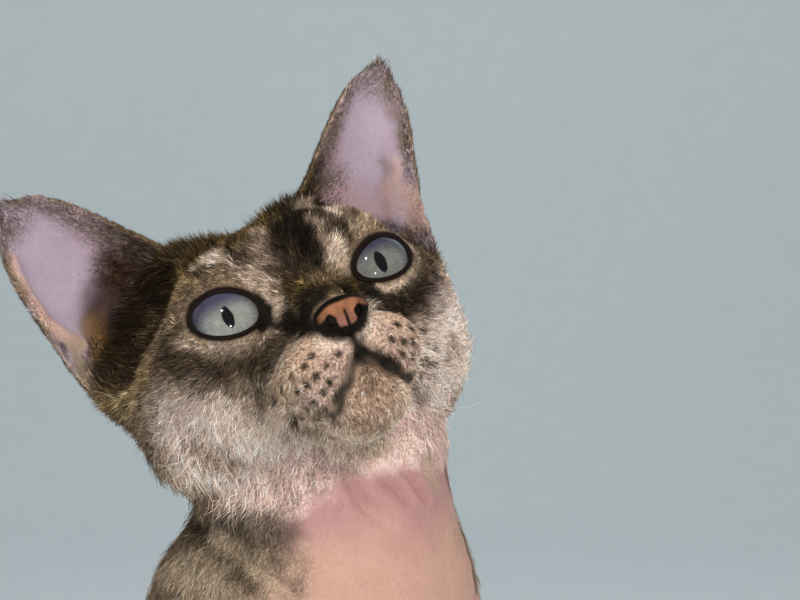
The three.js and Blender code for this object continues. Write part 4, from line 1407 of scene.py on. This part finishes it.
# how thick the short coat and the curls stand at the points of the skin
def coatDensities():
    local = toHead(points)
    head, neck, trunk = (shares[:, regionAt[name]] for name in ("head", "neck", "trunk"))
    down = 0.05 * (neck + trunk)
    short = byRegion(coat["shortShare"], shares) * (1 - 0.985 * skinBare) + down * skinBare
    curls = byRegion(coat["curlShare"], shares) + 3.0 * jawShare(local) * head + 0.5 * neck
    crown = smooth(local[:, 1], -4, 14) * smooth(local[:, 2], 4, 20) * head
    return short, curls * (1 - 0.97 * skinBare) + 0.35 * crown


shortPaint = coatMaterial("short coat", 0.7)
curlPaint = coatMaterial("curly coat", 0.7)
shortDensity, curlDensity = coatDensities()
tufts("coat_short", coat["shortTufts"], shortDensity, coat["shortPerPiece"], shortPaint, 11, shortTuft)
tufts("coat_curl", coat["curls"], curlDensity, coat["curlsPerPiece"], curlPaint, 12, curl)
print("stage: coat made")

# eyes


def eyeMaterial(name, brightness):
    paint = Paint(name, Roughness=0.12, **{"Specular IOR Level": 0.25, "Coat Weight": 0.6, "Coat Roughness": 0.02,
                                           "Coat IOR": 1.4})
    plane = paint.node("ShaderNodeAttribute", {"attribute_name": "irisPlane"}, out=1)
    x, y = (paint.node("ShaderNodeSeparateXYZ", None, {0: plane}, out=k) for k in (0, 1))
    radius = (x * x + y * y) ** 0.5
    angle = paint.node("ShaderNodeMath", {"operation": "ARCTAN2"}, {0: y, 1: x})
    rays = paint.node("ShaderNodeCombineXYZ", None, {0: angle * 9.0, 1: radius * 0.35, 2: 0.0})
    fibre = paint.noise(1.6, 4, 0.65, rays)
    cloud = paint.noise(420, 2, 0.5)
    tone = paint.node("ShaderNodeValToRGB", {"stops": eyes["irisTones"]}, {0: radius / eyes["irisRadius"]})
    fibres = paint.mix(fibre, (0.10, 0.11, 0.13, 1), (2.05, 2.02, 1.96, 1))
    base = paint.times(tone, fibres)
    # the upper part of the iris darker and lilac: painted shadow of the upper lid and painted reflection of the sky
    base = paint.mix(paint.remap(y, 0.0, 5.5, 0.0, 1.0) * 0.92, base, (0.036, 0.032, 0.070, 1))
    base = paint.mix(paint.remap(y, -2.5, -6.0, 0.0, 1.0) * 0.55, base, (0.12, 0.145, 0.10, 1))
    base = paint.mix(0.22, base, cloud, "OVERLAY")
    # painted shade: one iris colour for both eyes, made darker on the cat's left eye
    base = paint.times(base, (brightness, brightness, brightness, 1))
    # the pupil: a standing slit with pointed ends
    wide, tall = x / eyes["pupil"][0] + (cloud - 0.5) * 0.3, y / eyes["pupil"][1]
    slit = (wide * wide) ** 0.95 + (tall * tall) ** 0.85
    paint.feed("Base Color", paint.mix(paint.remap(slit, 0.9, 1.2, 1.0, 0.0), base, (0.002, 0.002, 0.003, 1)))
    return paint.material


def makeEye(name, side, material):
    deselect()
    bpy.ops.mesh.primitive_uv_sphere_add(segments=72, ring_count=44, radius=1)
    piece = bpy.context.object
    piece.name = piece.data.name = name
    ball = rowsOf(piece.data.vertices, "co", 3)
    ahead, out, high = eyeAxes(side)
    away = unit(ball[:, 2:3] * ahead + ball[:, 0:1] * out + ball[:, 1:2] * high)
    local = eyeCentre(side) + away * (eyeReach(away @ ahead) - 0.05)[:, None]
    setPoints(piece, fromHead(local))
    if side < 0:
        piece.data.flip_normals()
    layer = piece.data.attributes.new("irisPlane", "FLOAT_VECTOR", "POINT")
    fromMiddle = local - eyeCentre(side)
    up = unit(np.array((0.0, 0.0, 1.0)) - ahead * ahead[2])
    flatSide = np.cross(up, ahead)
    plane = np.stack([fromMiddle @ flatSide, fromMiddle @ up, fromMiddle @ ahead], 1)
    layer.data.foreach_set("vector", plane.astype(np.float32).ravel())
    shadeSmooth(piece.data)
    wear(piece, material)
    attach(piece, "root")
    return piece


# the point at a place of the opening, a height above the eyeball
def lidPoint(side, u, v, above):
    ahead, out, high = eyeAxes(side)
    a = ((u + eyes["shift"][side][0]) / eyes["mmPerRadian"])[:, None]
    b = ((v + eyes["shift"][side][1]) / eyes["mmPerRadian"])[:, None]
    away = np.cos(b) * np.cos(a) * ahead + np.cos(b) * np.sin(a) * out + np.sin(b) * high
    return eyeCentre(side) + away * (eyeReach(away @ ahead) + above)[:, None]


def makeLidRim(name, side, material):
    around, across = 120, 9
    theta = np.linspace(0, 2 * math.pi, around, endpoint=False)
    c, s = np.cos(theta), np.sin(theta)
    u, v = np.array((c, s)) / openingSize(side, c, s)
    du, dv = np.roll(u, -1) - np.roll(u, 1), np.roll(v, -1) - np.roll(v, 1)
    size = np.hypot(du, dv)
    width = rimWidth(side, u / eyes["halfWidth"][side], v / eyes["upper"][side])
    tuck = eyes["rimTuck"]    # the rim starts this far inside the border and under the eyeball's face
    rows, faces = [], []
    for k in range(across):
        t = k / (across - 1)
        offset = -tuck + (width + tuck) * t
        height = -tuck + 0.75 * math.sin(min(t * 1.6, 1) * math.pi / 2) + 0.5 * t - 0.5 * smooth(t, 0.75, 1.0)
        rows.append(lidPoint(side, u + dv / size * offset, v - du / size * offset, height))
    for k in range(across - 1):
        for i in range(around):
            j = (i + 1) % around
            faces.append((k * around + i, k * around + j, (k + 1) * around + j, (k + 1) * around + i))
    piece = pieceFrom(name, fromHead(np.concatenate(rows)), faces)
    inEditMode(piece, bpy.ops.mesh.normals_make_consistent, inside=False)
    shadeSmooth(piece.data)
    wear(piece, material)
    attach(piece, "root")


def lidMaterial():
    paint = Paint("eyelid rim", Roughness=0.5, **{"Specular IOR Level": 0.12})
    grain = paint.noise(1500, 3, 0.6)
    paint.feed("Base Color", paint.mix(grain, (0.003, 0.002, 0.002, 1), (0.014, 0.007, 0.005, 1)))
    paint.feed("Roughness", 0.4 + grain * 0.25)
    paint.feed("Normal", paint.bump(grain, 0.4, 0.0003))
    return paint.material


rimPaint = lidMaterial()
eyeLeft = makeEye("eyeball_left", 1, eyeMaterial("eye left", eyes["brightness"][1]))
eyeRight = makeEye("eyeball_right", -1, eyeMaterial("eye right", eyes["brightness"][-1]))
makeLidRim("eyelid_rim_left", 1, rimPaint)
makeLidRim("eyelid_rim_right", -1, rimPaint)
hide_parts("eye_left")
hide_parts("eye_right")
print("stage: eyes made")

# whiskers: short and crimped, as the breed's are, and one long one on the cheek

whiskers = {
    "radius": 0.045,
    "longRadius": 0.13,
    "length": (3.0, 7.0),
    "rooted": 0.6,
    "padLean": (0.75, -0.10, -0.25),
    "browLean": (0.35, -0.45, 0.75),
    "colour": (0.86, 0.82, 0.78),
    "brow": [(216, 260), (232, 258)],
    "long": [(426, 376), (436, 398), (448, 408), (466, 408), (482, 402), (497, 390)],
}


# thin hairs with three sides, each a line of points with the radius of its root
def whiskerPiece(name, lines, material):
    points, faces = [], []
    for rootRadius, line in lines:
        start, count = len(points), len(line)
        for k in range(count):
            ahead = unit(line[min(k + 1, count - 1)] - line[max(k - 1, 0)])
            side = unit(np.cross(ahead, (0.31, 0.22, 0.92)))
            deep = np.cross(side, ahead)
            radius = rootRadius * (1 - 0.9 * k / (count - 1))
            for j in range(3):
                angle = 2 * math.pi * j / 3
                points.append(line[k] + radius * (side * math.cos(angle) + deep * math.sin(angle)))
        for k in range(count - 1):
            for j in range(3):
                a, b = start + 3 * k + j, start + 3 * k + (j + 1) % 3
                faces.append((a, b, b + 3, a + 3))
        end = start + 3 * count
        faces += [(start + 2, start + 1, start), (end - 3, end - 2, end - 1)]
    piece = pieceFrom(name, np.array(points), faces)
    shadeSmooth(piece.data)
    wear(piece, material)
    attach(piece, "root")


def whiskerLines():
    chance = np.random.default_rng(61)
    steps = np.linspace(0, 1, 9)
    lines = []
    roots = [(root, whiskers["padLean"]) for root in spotPoints[::4]]
    roots += [(root, whiskers["browLean"]) for root in lineOnSkin(photoTree, whiskers["brow"])]
    for root, lean in roots:
        for side in (1, -1):
            base = root * (side, 1, 1)
            way = unit(lean * np.array((np.sign(base[0]), 1, 1)) + chance.normal(0, 0.2, 3))
            bend = unit(np.cross(way, chance.normal(size=3)))
            length = chance.uniform(*whiskers["length"])
            phase = chance.uniform(0, 6)
            reach = (length + whiskers["rooted"]) * steps - whiskers["rooted"]
            curve = base + way * reach[:, None] + bend * (0.35 * length * steps ** 2)[:, None]
            crimp = np.cross(way, bend) * (0.28 * np.sin(phase + 9 * steps) * steps)[:, None]
            lines.append((whiskers["radius"], fromHead(curve + crimp)))
    # the long one starts on the pad and follows the photograph's points in the plane of its root
    root = onSkin(photoTree, *whiskers["long"][0])
    rays = [photoRay(*pixel) for pixel in whiskers["long"][1:]]
    path = np.array([root] + [viewAt + ray * ((root - viewAt) @ viewBack / (ray @ viewBack)) for ray in rays])
    fineSteps = np.linspace(0, len(path) - 1, 28)
    path = np.stack([np.interp(fineSteps, np.arange(len(path)), path[:, k]) for k in range(3)], 1)
    return lines + [(whiskers["longRadius"], path)]


def whiskerMaterial():
    paint = Paint("whisker", Roughness=0.35, **{"Specular IOR Level": 0.4})
    grain = paint.noise(700, 2, 0.5)
    low = (*[c * 0.85 for c in whiskers["colour"]], 1)
    paint.feed("Base Color", paint.mix(grain, low, (*whiskers["colour"], 1)))
    return paint.material


whiskerPiece("whiskers", whiskerLines(), whiskerMaterial())
print("stage: whiskers made")

# nose leather

nose = {
    "voxel": 0.35,
    "grow": 0.25,
    "leather": (0.26, 0.112, 0.058),
    "septum": (0.22, 0.098, 0.070),
    "edge": (0.004, 0.003, 0.002),
    # heights in the head's frame at distances from its middle: the leather's upper edge, and the edge under which
    # the nostrils, their slits and the black underside lie; the nostrils and slits are painted black as painted shade
    # in their openings
    "across": (0.0, 2.1, 2.5, 3.0, 3.7, 4.4, 5.0, 6.0, 7.5),
    "topEdge": (-3.5, -3.4, -3.4, -3.5, -3.7, -4.0, -4.3, -4.9, -6.0),
    "lowEdge": (-9.4, -9.0, -7.6, -5.9, -5.3, -5.5, -6.2, -6.5, -6.2),
}


def makeNose():
    own, ownFaces = mergedCopy("nose", nose["grow"])
    piece = pieceFrom("nose_leather", own, ownFaces)
    applyModifier(piece, "REMESH", mode="VOXEL", voxel_size=nose["voxel"] / perMetre, adaptivity=0)
    at = relaxed(pointsOf(piece), edgesOf(piece), 6)
    setPoints(piece, at)
    local = toHead(at)
    x, _, z = local.T
    leather = np.array(nose["leather"])
    away = np.abs(x)
    top = smooth(z - np.interp(away, nose["across"], nose["topEdge"]), -0.45, 0.35)
    # under the low edge: painted shade in the nostrils and their slits, and the black underside
    low = smooth(np.interp(away, nose["across"], nose["lowEdge"]) - z, -0.3, 0.3)
    sides = smooth(away, 5.6, 6.8)
    line = (1 - smooth(away - 0.1 * smooth(-z, 6.5, 9.0), 0.12, 0.6)) * smooth(-z, 4.9, 6.2)
    dark = np.maximum.reduce([top, low, sides, line])
    leather = leather + (np.array(nose["septum"]) - leather) * smooth(-z, 5.5, 8.0)[:, None]
    # darker towards the sides as painted shade on the leather's rounded sides, and mottled by chance
    leather = leather * (1.1 - 0.45 * smooth(away, 2.0, 6.5) - 0.25 * smooth(drift(local, 3, 8), -0.2, 0.9))[:, None]
    leather = leather + (np.array(nose["edge"]) - leather) * dark[:, None]
    setTint(piece, leather)
    shadeSmooth(piece.data)
    paint = Paint("nose leather", Roughness=0.55, **{"Specular IOR Level": 0.10})
    cells = paint.cells(1700)
    grain = paint.noise(800, 3, 0.6)
    paint.feed("Base Color", paint.times(paint.tint(), paint.mix(grain, (0.65, 0.62, 0.6, 1), (1.3, 1.3, 1.3, 1))))
    paint.feed("Roughness", 0.45 + grain * 0.25)
    paint.feed("Normal", paint.bump(cells, 0.5, 0.0003))
    wear(piece, paint.material)
    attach(piece, "root")
    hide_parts("nose")


makeNose()

# ride and replace

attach(body, "root")
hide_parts(*fleshNodes)

# floor, backdrop and lights


# the backdrop's section, as metres behind the cat and metres up
sweep = [(-3.0, 0.0), (1.2, 0.0), (1.5, 0.03), (1.75, 0.13), (1.93, 0.3), (2.0, 0.55), (2.0, 3.2)]
sweepHalfWidth = 3.0

# places are metres to the right of, above and in front of the head, as the camera sees them
lights = {
    "window": {"at": (0.50, 0.50, 0.85), "size": 0.45, "power": 10.0, "colour": (1.0, 0.965, 0.92)},
    "fill": {"at": (-0.75, 0.05, 0.75), "size": 0.8, "power": 4.3, "colour": (1.0, 0.975, 0.94)},
    "above": {"at": (0.1, 0.95, -0.35), "size": 0.6, "power": 4.0, "colour": (0.97, 0.98, 1.0)},
    "glint": {"at": (0.10, -0.02, 0.9), "size": 0.045, "power": 0.8, "colour": (1.0, 1.0, 1.0), "mirrored": True},
    "glint high": {"at": (-0.30, 0.62, 0.60), "size": 0.07, "power": 1.2, "colour": (1.0, 1.0, 1.0),
                   "mirrored": True},
    "backdrop": {"at": (0.0, 0.9, -0.7), "size": 1.2, "power": 5.0, "colour": (0.97, 0.99, 1.0), "aimBack": -2.0},
}
room = {"colour": (0.86, 0.90, 0.93, 1), "strength": 0.28}


def addStage():
    paint = Paint("backdrop", Roughness=0.9)
    grain = paint.noise(60, 3, 0.5)
    paint.feed("Base Color", paint.mix(grain, (0.60, 0.67, 0.69, 1), (0.65, 0.72, 0.74, 1)))
    direction = np.array((-viewBack[0], -viewBack[1], 0.0))
    direction = direction / np.linalg.norm(direction)
    across = np.array((direction[1], -direction[0], 0.0))
    at = [(direction * behind + across * side * sweepHalfWidth + np.array((0, 0, up))) * perMetre
          for behind, up in sweep for side in (-1, 1)]
    faces = [(2 * k, 2 * k + 1, 2 * k + 3, 2 * k + 2) for k in range(len(sweep) - 1)]
    piece = pieceFrom("floor", at, faces)
    applyModifier(piece, "SUBSURF", levels=3, render_levels=3)
    shadeSmooth(piece.data)
    wear(piece, paint.material)


def addLight(name, at, size, power, colour, mirrored=False, aimBack=0.0):
    data = bpy.data.lights.new(name, "AREA")
    data.shape = "DISK"
    data.size = size
    data.energy = power
    data.color = colour
    lamp = bpy.data.objects.new(name, data)
    bpy.context.scene.collection.objects.link(lamp)
    place = headAt / perMetre + viewRight * at[0] + viewUp * at[1] + viewBack * at[2]
    aim = headAt / perMetre + viewBack * aimBack
    lamp.location = Vector(place)
    lamp.rotation_mode = "QUATERNION"
    lamp.rotation_quaternion = Vector(aim - place).to_track_quat("-Z", "Y")
    lamp.visible_glossy = mirrored


addStage()
for name, settings in lights.items():
    addLight(name, **settings)
world = bpy.data.worlds.new("room")
world.use_nodes = True
background = world.node_tree.nodes["Background"]
background.inputs[0].default_value = room["colour"]
background.inputs[1].default_value = room["strength"]
bpy.context.scene.world = world
print("stage: lights placed")
